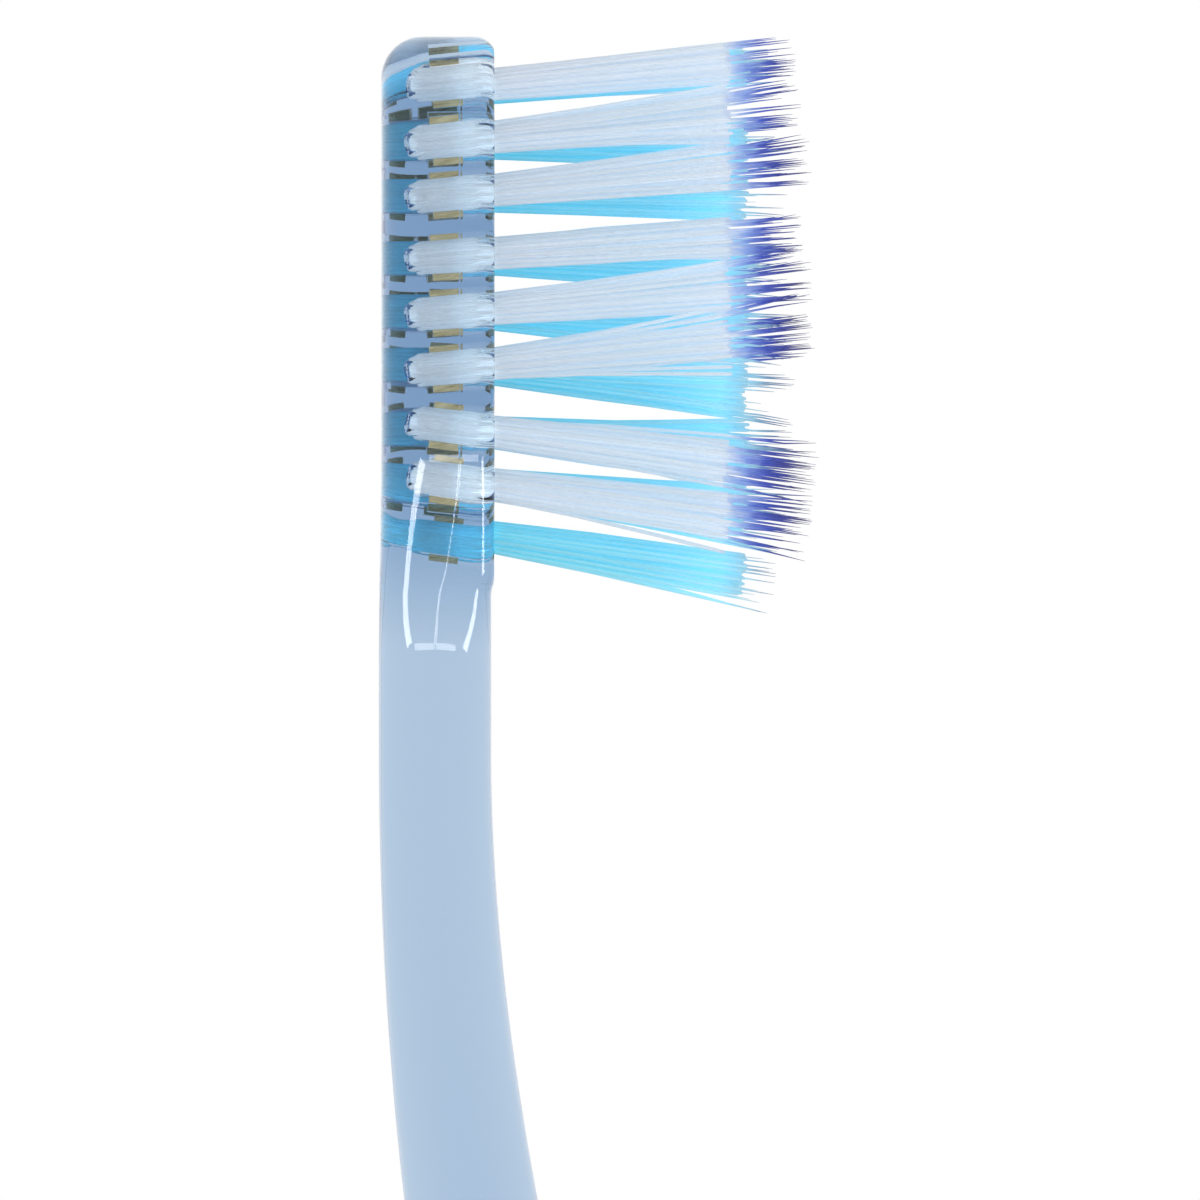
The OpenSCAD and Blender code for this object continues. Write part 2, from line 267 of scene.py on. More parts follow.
@dataclass(frozen=True)
class TuftLayout:
    """Stations, distances across and leans of all tufts, in three groups of columns."""

    spine: Spine
    row_pitch: float = 2.4
    toe_inset: float = 0.6
    toe_set_back: float = 0.1
    inner_toe_lean: float = -5.0
    firsts: tuple[float, float, float] = (1.98, 8.74, 15.86)
    pitches: tuple[float, float, float] = (2.12, 2.2, 2.1)
    inner_shift: float = 0.2
    outer_leans: tuple[float, float, float] = (-5.4, -4.1, 7.2)
    outer_steps: tuple[float, float, float] = (0.0, -0.6, 0.6)
    inner_leans: tuple[float, float, float] = (-1.0, 0.8, 3.0)
    inner_steps: tuple[float, float, float] = (0.5, 1.6, 2.6)
    group: int = 3

    def place(self, row: Row, column: int) -> TuftPlace:
        """Place of one tuft, worked out from its group and its number in the group.

        Args:
            row: The tuft's row.
            column: The tuft's number in the row, from the toe.

        Returns:
            The place.
        """
        group, step = divmod(column - 1, self.group)
        inner = row is Row.MIDDLE
        station = self.firsts[group] + step * self.pitches[group]
        if inner and column == 1:
            station += self.toe_set_back
        elif inner and group < 2:
            station += self.inner_shift
        across = row.value * (self.row_pitch - (self.toe_inset if column == 1 else 0.0))
        leans, steps = (
            (self.inner_leans, self.inner_steps) if inner else (self.outer_leans, self.outer_steps)
        )
        lean = leans[group] + step * steps[group]
        if inner and column == 1:
            lean = self.inner_toe_lean
        return TuftPlace(row, column, station, across, math.radians(lean), self.spine)

    def places(self) -> list[TuftPlace]:
        """All places, row by row."""
        return [self.place(row, column) for row in Row for column in range(1, row.columns + 1)]


@dataclass(frozen=True)
class Bore:
    """Blind tuft hole: a drafted wall that turns in to a flat floor, with the anchor's track."""

    mouth_radius: float = 0.72
    deep_radius: float = 0.67
    wall: float = 2.7
    depth: float = 3.25
    floor_radius: float = 0.4
    track_half: float = 0.17
    track_reach: float = 0.94
    track_depth: float = 2.5
    levels: tuple[float, float, float] = (-0.6, -1.2, -1.8)
    arc_points: int = 20

    def radius(self, z: np.ndarray) -> np.ndarray:
        """Radius at a height over the mouth: one taper down to the turn, a steeper one below.

        Args:
            z: Heights, negative in the hole.

        Returns:
            Radii.
        """
        z = np.asarray(z, float)
        upper = self.mouth_radius + z * (self.mouth_radius - self.deep_radius) / self.wall
        share = np.clip((-z - self.wall) / (self.depth - self.wall), 0, 1)
        lower = self.deep_radius + share * (self.floor_radius - self.deep_radius)
        return np.where(z >= -self.wall, upper, lower)

    def outline(self, radius: float, tracked: bool) -> tuple[np.ndarray, np.ndarray]:
        """Outline of the hole at one depth: two arcs, and the track's two ends between them.

        Args:
            radius: Radius of the round part.
            tracked: Whether the track's ends stand out, or lie on the circle.

        Returns:
            Distances along the brush and across, point by point round the outline.
        """
        edge = math.asin(self.track_half / self.mouth_radius)
        arc = np.linspace(edge, math.pi - edge, self.arc_points + 2)
        x, y = radius * np.cos(arc), radius * np.sin(arc)
        ends = np.array([-0.5, 0.0, 0.5]) * edge
        if tracked:
            end_x = np.full(3, self.track_reach)
            end_y = np.array([-1.0, 0.0, 1.0]) * self.track_half
            x[[0, -1]] = np.sqrt(radius**2 - self.track_half**2) * np.array([1.0, -1.0])
            y[[0, -1]] = self.track_half
        else:
            end_x, end_y = radius * np.cos(ends), radius * np.sin(ends)
        return (
            np.concatenate([end_x, x, -end_x, -x]),
            np.concatenate([end_y, y, -end_y, -y]),
        )

    def mouth(self, lean: float) -> tuple[np.ndarray, np.ndarray, np.ndarray]:
        """Outline in the bristle face, whose heights follow the slant of the cut."""
        x, y = self.outline(self.mouth_radius, True)
        return x, y, -x * math.tan(lean)


OUTER_BORE = Bore()
INNER_BORE = Bore(depth=3.6)


def bore_of(row: Row) -> Bore:
    """The hole of a tuft in a row: the inner row's are deeper."""
    return INNER_BORE if row is Row.MIDDLE else OUTER_BORE


def quads(rows: int, columns: int, wrap: bool = False) -> np.ndarray:
    """Corner numbers of the faces of a grid of points.

    Args:
        rows: Number of rows of points.
        columns: Points in a row.
        wrap: Whether the last column joins the first.

    Returns:
        Four corner numbers for each face.
    """
    grid = np.arange(rows * columns).reshape(rows, columns)
    if wrap:
        grid = np.concatenate([grid, grid[:, :1]], axis=1)
    corners = (grid[:-1, :-1], grid[1:, :-1], grid[1:, 1:], grid[:-1, 1:])
    return np.stack(corners, axis=-1).reshape(-1, 4)


@dataclass
class Surface:
    """Points and faces gathered from several patches before they become one mesh."""

    points: list[np.ndarray] = field(default_factory=list)
    faces: list[list[int]] = field(default_factory=list)
    marks: list[np.ndarray] = field(default_factory=list)
    count: int = 0

    def add(self, points: np.ndarray, faces: np.ndarray, marks: np.ndarray | None = None) -> None:
        """Adds a patch.

        Args:
            points: Points of the patch.
            faces: Corner numbers, counted from the patch's first point.
            marks: A number for each point; an edge between two points with the same number,
                if it isn't 0, is a hard edge.
        """
        flat = points.reshape(-1, 3)
        self.faces += (faces + self.count).tolist()
        self.points.append(flat)
        self.marks.append(np.zeros(len(flat), int) if marks is None else marks.reshape(-1))
        self.count += len(flat)

    def mesh(self, name: str, hard_angle: float) -> bpy.types.Mesh:
        """Writes the mesh in metres, merges the seams and poles, and marks the hard edges.

        Args:
            name: Name of the mesh.
            hard_angle: Angle between two faces over which their edge is hard.

        Returns:
            The closed mesh with its faces pointing outwards.
        """
        mesh = bpy.data.meshes.new(name)
        mesh.from_pydata((np.concatenate(self.points) * MM).tolist(), [], self.faces)
        marks = mesh.attributes.new("mark", "INT", "POINT")
        marks.data.foreach_set("value", np.concatenate(self.marks).astype(np.int32))
        work = bmesh.new()
        work.from_mesh(mesh)
        bmesh.ops.remove_doubles(work, verts=work.verts, dist=MERGE_GAP)
        bmesh.ops.dissolve_degenerate(work, edges=work.edges, dist=MERGE_GAP / 10)
        bmesh.ops.recalc_face_normals(work, faces=work.faces)
        open_edges = sum(1 for edge in work.edges if len(edge.link_faces) != 2)
        work.to_mesh(mesh)
        work.free()
        mesh.shade_smooth()
        mesh.set_sharp_from_angle(angle=hard_angle)
        ends = np.zeros(len(mesh.edges) * 2, np.int32)
        mesh.edges.foreach_get("vertices", ends)
        ends = ends.reshape(-1, 2)
        mark = np.zeros(len(mesh.vertices), np.int32)
        mesh.attributes["mark"].data.foreach_get("value", mark)
        hard = np.zeros(len(mesh.edges), bool)
        sharp = mesh.attributes.get("sharp_edge")
        sharp = sharp or mesh.attributes.new("sharp_edge", "BOOLEAN", "EDGE")
        sharp.data.foreach_get("value", hard)
        hard |= (mark[ends[:, 0]] == mark[ends[:, 1]]) & (mark[ends[:, 0]] > 0)
        sharp.data.foreach_set("value", hard)
        mesh.attributes.remove(mesh.attributes["mark"])
        LOG.info("%s: %d faces, %d open edges", name, len(mesh.polygons), open_edges)
        return mesh


def inside(points: np.ndarray, outline: np.ndarray) -> np.ndarray:
    """Which points lie inside an outline, by counting the edges that a ray crosses.

    Args:
        points: Points in the plane.
        outline: Corners of the closed outline.

    Returns:
        True for each point inside.
    """
    x, y = points[:, :1], points[:, 1:]
    x0, y0 = outline[:, 0], outline[:, 1]
    x1, y1 = np.roll(x0, -1), np.roll(y0, -1)
    spans = (y0 > y) != (y1 > y)
    rise = np.where(y1 == y0, 1.0, y1 - y0)
    return ((spans & (x < x0 + (y - y0) / rise * (x1 - x0))).sum(axis=1) % 2).astype(bool)


@dataclass
class Handle:
    """Clear one-piece handle: head with its tuft holes, neck, grip with grooves, and tail."""

    spine: Spine
    tufts: list[TuftPlace]
    head_half_width: float = 4.1
    neck_half_width: float = 2.1
    neck_half_height: float = 2.25
    neck_drop: float = 0.09
    swell: tuple[float, float, float] = (46.5, 2.2, 2.64)
    swell_lift: float = 0.06
    toe_length: float = 4.4
    toe_power: float = 2.1
    toe_face_radius: float = 0.95
    toe_trim: float = 0.008
    heel: float = 16.4
    face_end: float = 21.4
    neck: float = 24.8
    face_proud: float = 0.12
    face_run_out: float = 0.9
    thumb_half_width: float = 6.297
    thumb_height: float = 8.2
    dish: float = 0.7
    waist_half_width: float = 5.4
    palm_half_width: float = 6.2
    palm_height: float = 7.6
    tail_height: float = 6.2
    tail_length: float = 5.5
    tail_trim: float = 0.07
    grip_shares: tuple[float, float, float, float] = (0.14, 0.33, 0.52, 0.76)
    shoulder_width_share: float = 0.72
    shoulder_height_share: float = 0.78
    tail_width_share: float = 0.84
    dish_share: float = 0.08
    back_swell_share: float = 0.42
    partings: tuple[float, float] = (0.68, 0.5)
    head_back_power: float = 4.0
    head_face_power: float = 6.0
    neck_power: float = 3.4
    grip_power: float = 2.4
    grooves: int = 5
    groove_depth: float = 0.3
    groove_radius: float = 1.5
    groove_pitch: float = 3.2
    groove_edge: float = 0.08
    groove_dip: float = 0.02
    ridge_height: float = 0.015
    ridge_width: float = 0.03
    ridge_steps: tuple[float, ...] = (0.0, 0.6, 1.4, 2.6)
    ridge_limits: tuple[float, ...] = (0.0, 0.03, 0.06, 0.09)
    rim_widths: tuple[float, ...] = (0.12, 0.25, 0.4, 0.5, 0.58, 0.65, 0.7, 0.74, 0.77, 0.79)
    rim_trials: int = 6001
    toe_step: float = 2.5
    tail_step: float = 3.0
    ring_counts: tuple[int, int, int, int] = (9, 26, 22, 70)
    grip_step: float = 1.2
    groove_step: float = 0.13
    groove_margin: float = 0.6
    wall_columns: int = 20
    flat_columns: int = 4
    first_mouth_mark: int = 10

    def __post_init__(self) -> None:
        """Works out the courses of the outline along the brush."""
        grip = self.spine.length - self.swell[0]
        swell_s, swell_w, swell_h = self.swell
        shoulder, thumb, waist, palm = (swell_s + share * grip for share in self.grip_shares)
        face, bend, end = self.spine.head_half, self.spine.bend_start, self.spine.length
        half_palm, rest = self.palm_height / 2, self.spine.rest_height
        thumb_up = self.thumb_height - rest
        self.thumb = thumb
        self.width = Course(
            (self.heel, self.head_half_width),
            (self.neck, self.neck_half_width),
            (bend, self.neck_half_width),
            (swell_s, swell_w),
            (shoulder, self.thumb_half_width * self.shoulder_width_share),
            (thumb, self.thumb_half_width),
            (waist, self.waist_half_width),
            (palm, self.palm_half_width),
            (end, self.palm_half_width * self.tail_width_share),
        )
        self.back = Course(
            (self.heel, face),
            (self.neck, self.neck_half_height + self.neck_drop),
            (bend, self.neck_half_height + self.neck_drop),
            (swell_s, swell_h - self.swell_lift),
            (shoulder, swell_h + (half_palm - swell_h) * (1 - self.back_swell_share**2)),
            (thumb, half_palm),
        )
        self.front = Course(
            (self.face_end, face + self.face_proud),
            (self.face_end + self.face_run_out, self.neck_half_height - self.neck_drop),
            (bend, self.neck_half_height - self.neck_drop),
            (swell_s, swell_h + self.swell_lift),
            (shoulder, thumb_up * self.shoulder_height_share),
            (thumb - self.dish_share * grip, thumb_up),
            (thumb, thumb_up - self.dish),
            (waist, self.palm_height - rest),
            (palm, self.palm_height - rest),
            (end, self.tail_height - rest),
        )
        self.parting = Course((self.heel, self.partings[0]), (self.neck, self.partings[1]))
        self.back_power = Course(
            (self.heel, self.head_back_power),
            (self.face_end, self.head_back_power),
            (self.neck, self.neck_power),
            (shoulder, self.grip_power),
        )
        self.front_power = Course(
            (self.heel, self.head_face_power),
            (self.face_end, self.head_face_power),
            (self.neck, self.neck_power),
            (shoulder, self.grip_power),
        )

    def toe_share(self, s: np.ndarray) -> np.ndarray:
        """Share of the full width near the toe: a power curve that ends upright."""
        gap = np.clip((self.toe_length - s) / self.toe_length, 0, 1)
        return (1 - gap**self.toe_power) ** (1 / self.toe_power)

    def held_in(self, s: np.ndarray) -> np.ndarray:
        """Stations drawn in by a hair at the toe, so that it stays inside the solid's box."""
        return s + self.toe_trim * (1 - self.toe_share(s))

    def tail_share(self, s: np.ndarray) -> np.ndarray:
        """Share of the full width near the tail: a quarter of an ellipse.

        Args:
            s: Stations.

        Returns:
            Shares from 1 down to 0.
        """
        start = self.spine.length - self.tail_trim - self.tail_length
        gap = np.clip((s - start) / self.tail_length, 0, 1)
        return np.sqrt(1 - gap**2)

    @staticmethod
    def corner(s: np.ndarray, radius: float) -> np.ndarray:
        """How far a rounded toe edge falls short at a station: a quarter circle."""
        gap = np.clip(radius - s, 0, radius)
        return radius - np.sqrt(radius**2 - gap**2)

    def limits(self, s: np.ndarray) -> tuple[np.ndarray, np.ndarray, np.ndarray]:
        """Half the width, the lowest and the highest distance from the spine.

        Args:
            s: Stations.

        Returns:
            The three values at each station.
        """
        fall = np.sqrt(self.tail_share(s))
        half = self.width(s) * self.toe_share(s) * self.tail_share(s)
        low = -(self.back(s) * fall - self.corner(s, self.spine.toe_back_radius))
        high = self.front(s) * fall - self.corner(s, self.toe_face_radius)
        return half, low, high

    def face_share(self, s: np.ndarray) -> np.ndarray:
        """How far up the section's upper part the bristle face cuts it.

        Args:
            s: Stations.

        Returns:
            Shares, 1 where the face passes over the section.
        """
        _, low, high = self.limits(s)
        wide = low + (high - low) * self.parting(s)
        share = (self.spine.head_half - wide) / np.maximum(high - wide, 1e-9)
        return np.where(s < self.neck, np.minimum(share, 1.0), 1.0)

    def rim_stations(self) -> tuple[float, float, np.ndarray]:
        """Where the face starts and ends, found on a fine scale of stations.

        Returns:
            The first and the last station, and stations between for an evenly drawn rim.
        """
        fine_toe = np.linspace(0.0, self.toe_face_radius, self.rim_trials)
        run_out = self.face_end + self.face_run_out
        fine_heel = np.linspace(self.face_end, run_out, self.rim_trials)
        widths = np.array(self.rim_widths)
        power = self.head_face_power
        wanted = (1 - widths**power) ** (1 / power)
        toe, heel = self.face_share(fine_toe), self.face_share(fine_heel)
        start = float(fine_toe[np.argmax(toe < 1) - 1])
        end = float(fine_heel[np.argmax(heel >= 1)])
        near_toe = [float(fine_toe[np.argmax(toe < w)]) for w in wanted if (toe < w).any()]
        near_heel = [float(fine_heel[np.argmax(heel > w)]) for w in wanted if (heel > w).any()]
        between = [s for s in near_toe + near_heel if start + 1e-4 < s < end - 1e-4]
        return start, end, np.array(between)

    def stations(self) -> np.ndarray:
        """Stations of the rings: close together where the outline turns, far apart elsewhere.

        Returns:
            The stations in order, none twice.
        """
        start, end, between = self.rim_stations()
        toe_turn = np.radians(np.arange(0, 90, self.toe_step))
        tail_turn = np.radians(np.arange(0, 91, self.tail_step))
        tail = self.spine.length - self.tail_trim - self.tail_length
        groove_run = (self.grooves / 2 + self.groove_margin) * self.groove_pitch
        turns = (self.toe_length, self.heel, self.face_end, self.neck, self.spine.bend_end)
        runs = [
            self.toe_length * (1 - np.cos(toe_turn)),
            *(np.linspace(a, b, n) for a, b, n in zip(turns, turns[1:], self.ring_counts)),
            np.arange(self.spine.bend_end, tail, self.grip_step),
            np.arange(self.thumb - groove_run, self.thumb + groove_run, self.groove_step),
            tail + self.tail_length * np.sin(tail_turn),
            between,
            [start, end],
        ]
        found = np.unique(np.concatenate(runs).round(6))
        keep = np.ones(len(found), bool)
        keep[1:] = np.diff(found) > 1e-5
        return found[keep]

    @staticmethod
    def wall(x: np.ndarray, power: np.ndarray) -> tuple[np.ndarray, np.ndarray]:
        """A quarter of the section's outline, |a|^n + |u|^n = 1, reached by rays at slope x."""
        base = ((1 - x) ** power + x**power) ** (1 / power)
        return (1 - x) / base, x / base

    def spread(self, height: np.ndarray, limit: np.ndarray) -> np.ndarray:
        """Slopes of the points of one wall, a few close to the parting ridge and then evenly.

        Args:
            height: Height of the wall at each ring.
            limit: Slope of its last point at each ring.

        Returns:
            Slopes by ring and column.
        """
        steps = np.array(self.ridge_steps) * self.ridge_width
        near = np.minimum(steps / height, np.array(self.ridge_limits) * limit)
        even = np.linspace(0, 1, self.wall_columns + 1)[1:]
        return np.concatenate([near, near[:, -1:] + (limit - near[:, -1:]) * even], axis=1)

    def rings(self, s: np.ndarray) -> tuple[np.ndarray, np.ndarray]:
        """Points of the sections at all stations, and their marks.

        Each section is an upper and a lower power curve that meet at the widest line. The
        upper one stops at the bristle face and the lower one at the resting plane.

        Args:
            s: Stations of the rings.

        Returns:
            Points by ring and column, and marks that are 1 on the rim and 2 and 3 on the
            edges of the resting flat.
        """
        half, low, high = (value[:, None] for value in self.limits(s))
        column = s[:, None]
        wide = low + (high - low) * self.parting(column)
        tall, deep = np.maximum(high - wide, 1e-6), np.maximum(wide - low, 1e-6)
        up_power, down_power = self.front_power(column), self.back_power(column)
        share = self.face_share(s)[:, None]
        rim = (1 - share**up_power) ** (1 / up_power)
        drop = self.spine.rest_height + self.spine.rise(column)
        ground = -drop / np.cos(self.spine.tilt(column))
        rest = np.where(low < ground, (wide - ground) / deep, 1.0)
        rest_edge = (1 - rest**down_power) ** (1 / down_power)

        x_up = self.spread(tall, share / (share + rim))[:, ::-1]
        x_down = self.spread(deep, rest / (rest + rest_edge))[:, 1:]
        up_a, up_u = self.wall(x_up, up_power)
        down_a, down_u = self.wall(x_down, down_power)
        ridge = self.ridge_height * self.toe_share(column) * self.tail_share(column)
        up_ridge = ridge * np.exp(-((tall * up_u / self.ridge_width) ** 2))
        down_ridge = ridge * np.exp(-((deep * down_u / self.ridge_width) ** 2))
        walls = [(half - ridge) * up_a + up_ridge, (half - ridge) * down_a + down_ridge]
        across = np.concatenate(walls, axis=1)
        across[half[:, 0] < 1e-9] = 0.0
        up = np.concatenate([wide + tall * up_u, wide - deep * down_u], axis=1)
        up = self.grooved(column, up)
        flat = np.linspace(1, -1, self.flat_columns + 1)[1:-1]
        across = np.concatenate([across, across[:, -1:] * flat, -across[:, ::-1]], axis=1)
        bottom = np.repeat(up[:, -1:], len(flat), axis=1)
        up = np.concatenate([up, bottom, up[:, ::-1]], axis=1)
        marks = np.zeros(across.shape, int)
        cut = (share[:, 0] < 1) | (np.abs(s - self.rim_stations()[0]) < 1e-5)
        marks[cut, 0] = marks[cut, -1] = 1
        wall = x_up.shape[1] + x_down.shape[1]
        resting = rest[:, 0] < 1
        marks[resting, wall - 1] = 2
        marks[resting, wall + len(flat)] = 3
        return self.spine.point(self.held_in(column), across, up), marks

    def grooved(self, s: np.ndarray, up: np.ndarray) -> np.ndarray:
        """Heights under round-bottomed grooves: the lower of the skin and each groove's circle.

        Args:
            s: Station of each ring.
            up: Distances from the spine by ring and column.

        Returns:
            The distances with the grooves.
        """
        for i in range(self.grooves):
            centre = self.thumb + (i - (self.grooves - 1) / 2) * self.groove_pitch
            top = self.limits(np.array([centre]))[2][0] - self.groove_depth + self.groove_radius
            gap = self.groove_radius**2 - (s - centre) ** 2
            circle = np.where(gap > 0, top - np.sqrt(np.maximum(gap, 0)), 1e3)
            near = np.clip(0.5 + (circle - up) / self.groove_edge, 0, 1)
            cut = circle + (up - circle) * near - self.groove_dip * near * (1 - near)
            up = np.where(up > 0, cut, up)
        return up

    def face(self, s: np.ndarray, rings: np.ndarray, marks: np.ndarray) -> Surface:
        """The flat bristle face, as triangles between its rim and the mouths of the holes.

        Args:
            s: Stations of the rings.
            rings: Points by ring and column.
            marks: Marks by ring and column.

        Returns:
            The face and the walls of all holes.
        """
        found = Surface()
        on = marks[:, 0] == 1
        on |= np.abs(s - self.rim_stations()[1]) < 1e-5
        held = self.held_in(s[on])
        right = np.stack([held, rings[on, 0, 1]], axis=1)
        left = np.stack([held, rings[on, -1, 1]], axis=1)[::-1][1:-1]
        outlines = [np.concatenate([right, left])]
        for tuft in self.tufts:
            x, y, _ = bore_of(tuft.row).mouth(tuft.lean)
            outlines.append(np.stack(tuft.on_face(x, y), axis=1))
        flat = np.concatenate(outlines)
        starts = np.cumsum([0] + [len(o) for o in outlines])
        edges = [
            (int(a + i), int(a + (i + 1) % (b - a)))
            for a, b in zip(starts[:-1], starts[1:])
            for i in range(b - a)
        ]
        drawn = [Vector(point) for point in flat]
        corners, _, triangles = delaunay_2d_cdt(drawn, edges, [], 0, 1e-7, True)[:3]
        flat = np.array([list(corner) for corner in corners])
        triangles = np.array(triangles)
        middles = flat[triangles].mean(axis=1)
        keep = inside(middles, outlines[0])
        for outline in outlines[1:]:
            keep &= ~inside(middles, outline)
        points = self.spine.point(flat[:, 0], flat[:, 1], self.spine.head_half)
        found.add(points, triangles[keep])
        for number, tuft in enumerate(self.tufts):
            self.add_bore(found, tuft, self.first_mouth_mark + number)
        return found

    def add_bore(self, surface: Surface, tuft: TuftPlace, mark: int) -> None:
        """Adds the wall and floor of one hole: outlines at several depths, joined in rings.

        Args:
            surface: Surface that takes the patch.
            tuft: The hole's place.
            mark: Number that makes the mouth a hard edge.
        """
        bore = bore_of(tuft.row)
        rows = [np.stack(bore.mouth(tuft.lean), axis=1)]
        levels = [(z, True) for z in (*bore.levels, -bore.track_depth)]
        turn = (bore.wall + bore.depth) / 2
        levels += [(z, False) for z in (-bore.track_depth, -bore.wall, -turn, -bore.depth)]
        for z, tracked in levels:
            x, y = bore.outline(float(bore.radius(z)), tracked)
            rows.append(np.stack([x, y, np.full(len(x), z)], axis=1))
        rows.append(np.tile([0.0, 0.0, -bore.depth], (len(rows[0]), 1)))
        points = np.stack(rows)
        marks = np.zeros(points.shape[:2], int)
        marks[0] = mark
        surface.add(tuft.point(points), quads(*points.shape[:2], wrap=True), marks)

    def build(self) -> bpy.types.Object:
        """Builds the handle's closed mesh, and dresses it.

        Returns:
            The handle's object.
        """
        s = self.stations()
        rings, marks = self.rings(s)
        surface = self.face(s, rings, marks)
        surface.add(rings, quads(*marks.shape), marks)
        mesh = surface.mesh("clear_handle", HARD_ANGLE)
        piece = bpy.data.objects.new("clear_handle", mesh)
        bpy.context.scene.collection.objects.link(piece)
        mesh.materials.append(ClearPlastic().make())
        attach(piece, BODY)
        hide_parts("handle")
        return piece


@dataclass(frozen=True)
class Tuft:
    """Sizes of a tuft of filaments, each folded under the anchor, one end short and one long."""

    bore: Bore = OUTER_BORE
    loops: int = 24
    filament_radius: float = 0.084
    sides: int = 5
    foot_gap: float = 0.01
    short: float = 9.4
    cut_stray: float = 0.07
    tip_spread: float = 1.3
    tip_power: float = 1.5
    long_share: float = 0.42
    fan: float = 0.34
    flare: float = 0.0
    lift: float = 0.0
    bow: float = 1.4
    stray: float = 0.05
    wild_share: float = 0.12
    wild: tuple[float, float] = (0.2, 0.75)
    strays_both: bool = True
    clumps: int = 8
    gather: float = 0.96
    gather_least: float = 0.6
    gather_from: float = 0.5
    gather_over: float = 0.4
    gather_power: float = 1.2
    anchor_half: float = 0.15
    anchor_bottom: float = 2.5
    beside_depth: float = 0.9
    lower_share: float = 0.96
    widest: float = 1.35
    pressed: float = 0.09
    packed: float = 1.12
    fold_turns: tuple[float, ...] = (30.0, 60.0, 90.0, 120.0, 150.0)
    fold_least: float = 0.12
    fold_halves: tuple[float, float] = (0.2, 0.36)
    floor_gap: float = 0.06
    end_room: tuple[float, float, float] = (0.3, 0.66, 2.2)
    short_heights: tuple[float, ...] = (1.0, 0.99, 0.96, 0.72, 0.36, 0.0)
    short_widths: tuple[float, ...] = (0.62, 0.9, 1.0, 1.0, 1.0, 1.0)
    long_heights: tuple[float, ...] = (1.0, 0.9, 0.8, 0.7, 0.36, 0.0)
    long_widths: tuple[float, ...] = (0.08, 0.42, 0.68, 0.88, 1.0, 1.0)

    def feet(self) -> tuple[np.ndarray, np.ndarray]:
        """Where the two ends of each loop pass the mouth: a sunflower pattern, halved across.

        Returns:
            Points on the near and on the far side of the anchor, paired along the brush.
        """
        k = np.arange(2 * self.loops)
        reach = self.bore.mouth_radius - self.filament_radius - self.foot_gap
        r = reach * np.sqrt((k + 0.5) / len(k))
        turn = k * math.pi * (3 - math.sqrt(5))
        places = np.stack([r * np.cos(turn), r * np.sin(turn)], axis=1)
        order = np.argsort(places[:, 1])
        halves = places[order[self.loops :]], places[order[: self.loops]]
        near, far = (half[np.argsort(half[:, 0])] for half in halves)
        return near, far

    def leg(
        self, foot: np.ndarray, tip: np.ndarray, long: np.ndarray, rng: np.random.Generator
    ) -> tuple[np.ndarray, np.ndarray]:
        """One end of each loop, from its tip down to the anchor's lower edge.

        Over the mouth a filament runs outward in step with its height and bends a little.
        In the hole it closes up beside the anchor.

        Args:
            foot: Points in the mouth.
            tip: Heights of the tips over the mouth.
            long: Which ends are long and tapered.
            rng: Source of the small differences between filaments.

        Returns:
            Points by loop and height, and the radii there.
        """
        pick = long[:, None]
        shares = np.where(pick, self.long_heights, self.short_heights)
        widths = np.where(pick, self.long_widths, self.short_widths)
        z = shares * tip[:, None]
        rise = (z / self.short)[..., None]
        out = foot[:, None, :] * (1 + self.fan * rise)
        spread = np.where(foot[:, :1] < 0, self.flare, self.lift)[:, None, :] * rise**self.bow
        out[..., :1] += spread * foot[:, None, :1] / self.bore.mouth_radius
        sway = rng.normal(0.0, self.stray, (len(foot), 1, 2))
        out += sway * rise
        loose = (rng.random(len(foot)) < self.wild_share) * rng.uniform(*self.wild, len(foot))
        aside = np.sign(foot[:, 0]) * loose * (self.strays_both | (foot[:, 0] < 0))
        out[..., 0] += aside[:, None] * rise[..., 0] ** self.bow
        top = out[:, 0]
        centres = top[rng.permutation(len(top))[: self.clumps]]
        nearest = np.linalg.norm(top[:, None] - centres, axis=-1).argmin(axis=1)
        drawn = self.gather * rng.uniform(self.gather_least, 1.0, (len(top), 1))
        pull = (centres[nearest] - top) * drawn
        gathered = np.clip((shares - self.gather_from) / self.gather_over, 0.0, 1.0)
        gathered = gathered**self.gather_power
        out += pull[:, None] * gathered[..., None] * pick[..., None]
        path = np.concatenate([out, z[..., None]], axis=-1)
        beside = self.beside(foot)
        passes = ((1.0, -self.beside_depth), (self.lower_share, -self.anchor_bottom))
        deep = [
            np.concatenate([beside * scale, np.full((len(foot), 1), level)], axis=1)
            for scale, level in passes
        ]
        path = np.concatenate([path, np.stack(deep, axis=1)], axis=1)
        widths = np.concatenate([widths, np.full((len(foot), 2), self.packed)], axis=1)
        return path, widths * self.filament_radius

    def beside(self, foot: np.ndarray) -> np.ndarray:
        """Where a filament passes the anchor: pushed off its flat, and out to the hole's wall.

        Args:
            foot: Points in the mouth.

        Returns:
            Points at the anchor's upper edge.
        """
        off = self.anchor_half + self.filament_radius + self.foot_gap
        reach = float(self.bore.radius(-self.beside_depth)) - self.filament_radius + self.pressed
        across = np.sign(foot[:, 1]) * (off + np.abs(foot[:, 1]) * (reach - off) / reach)
        placed = np.stack([foot[:, 0], across], axis=1)
        far = np.linalg.norm(placed, axis=1, keepdims=True)
        return placed * np.minimum(self.widest, reach / far)

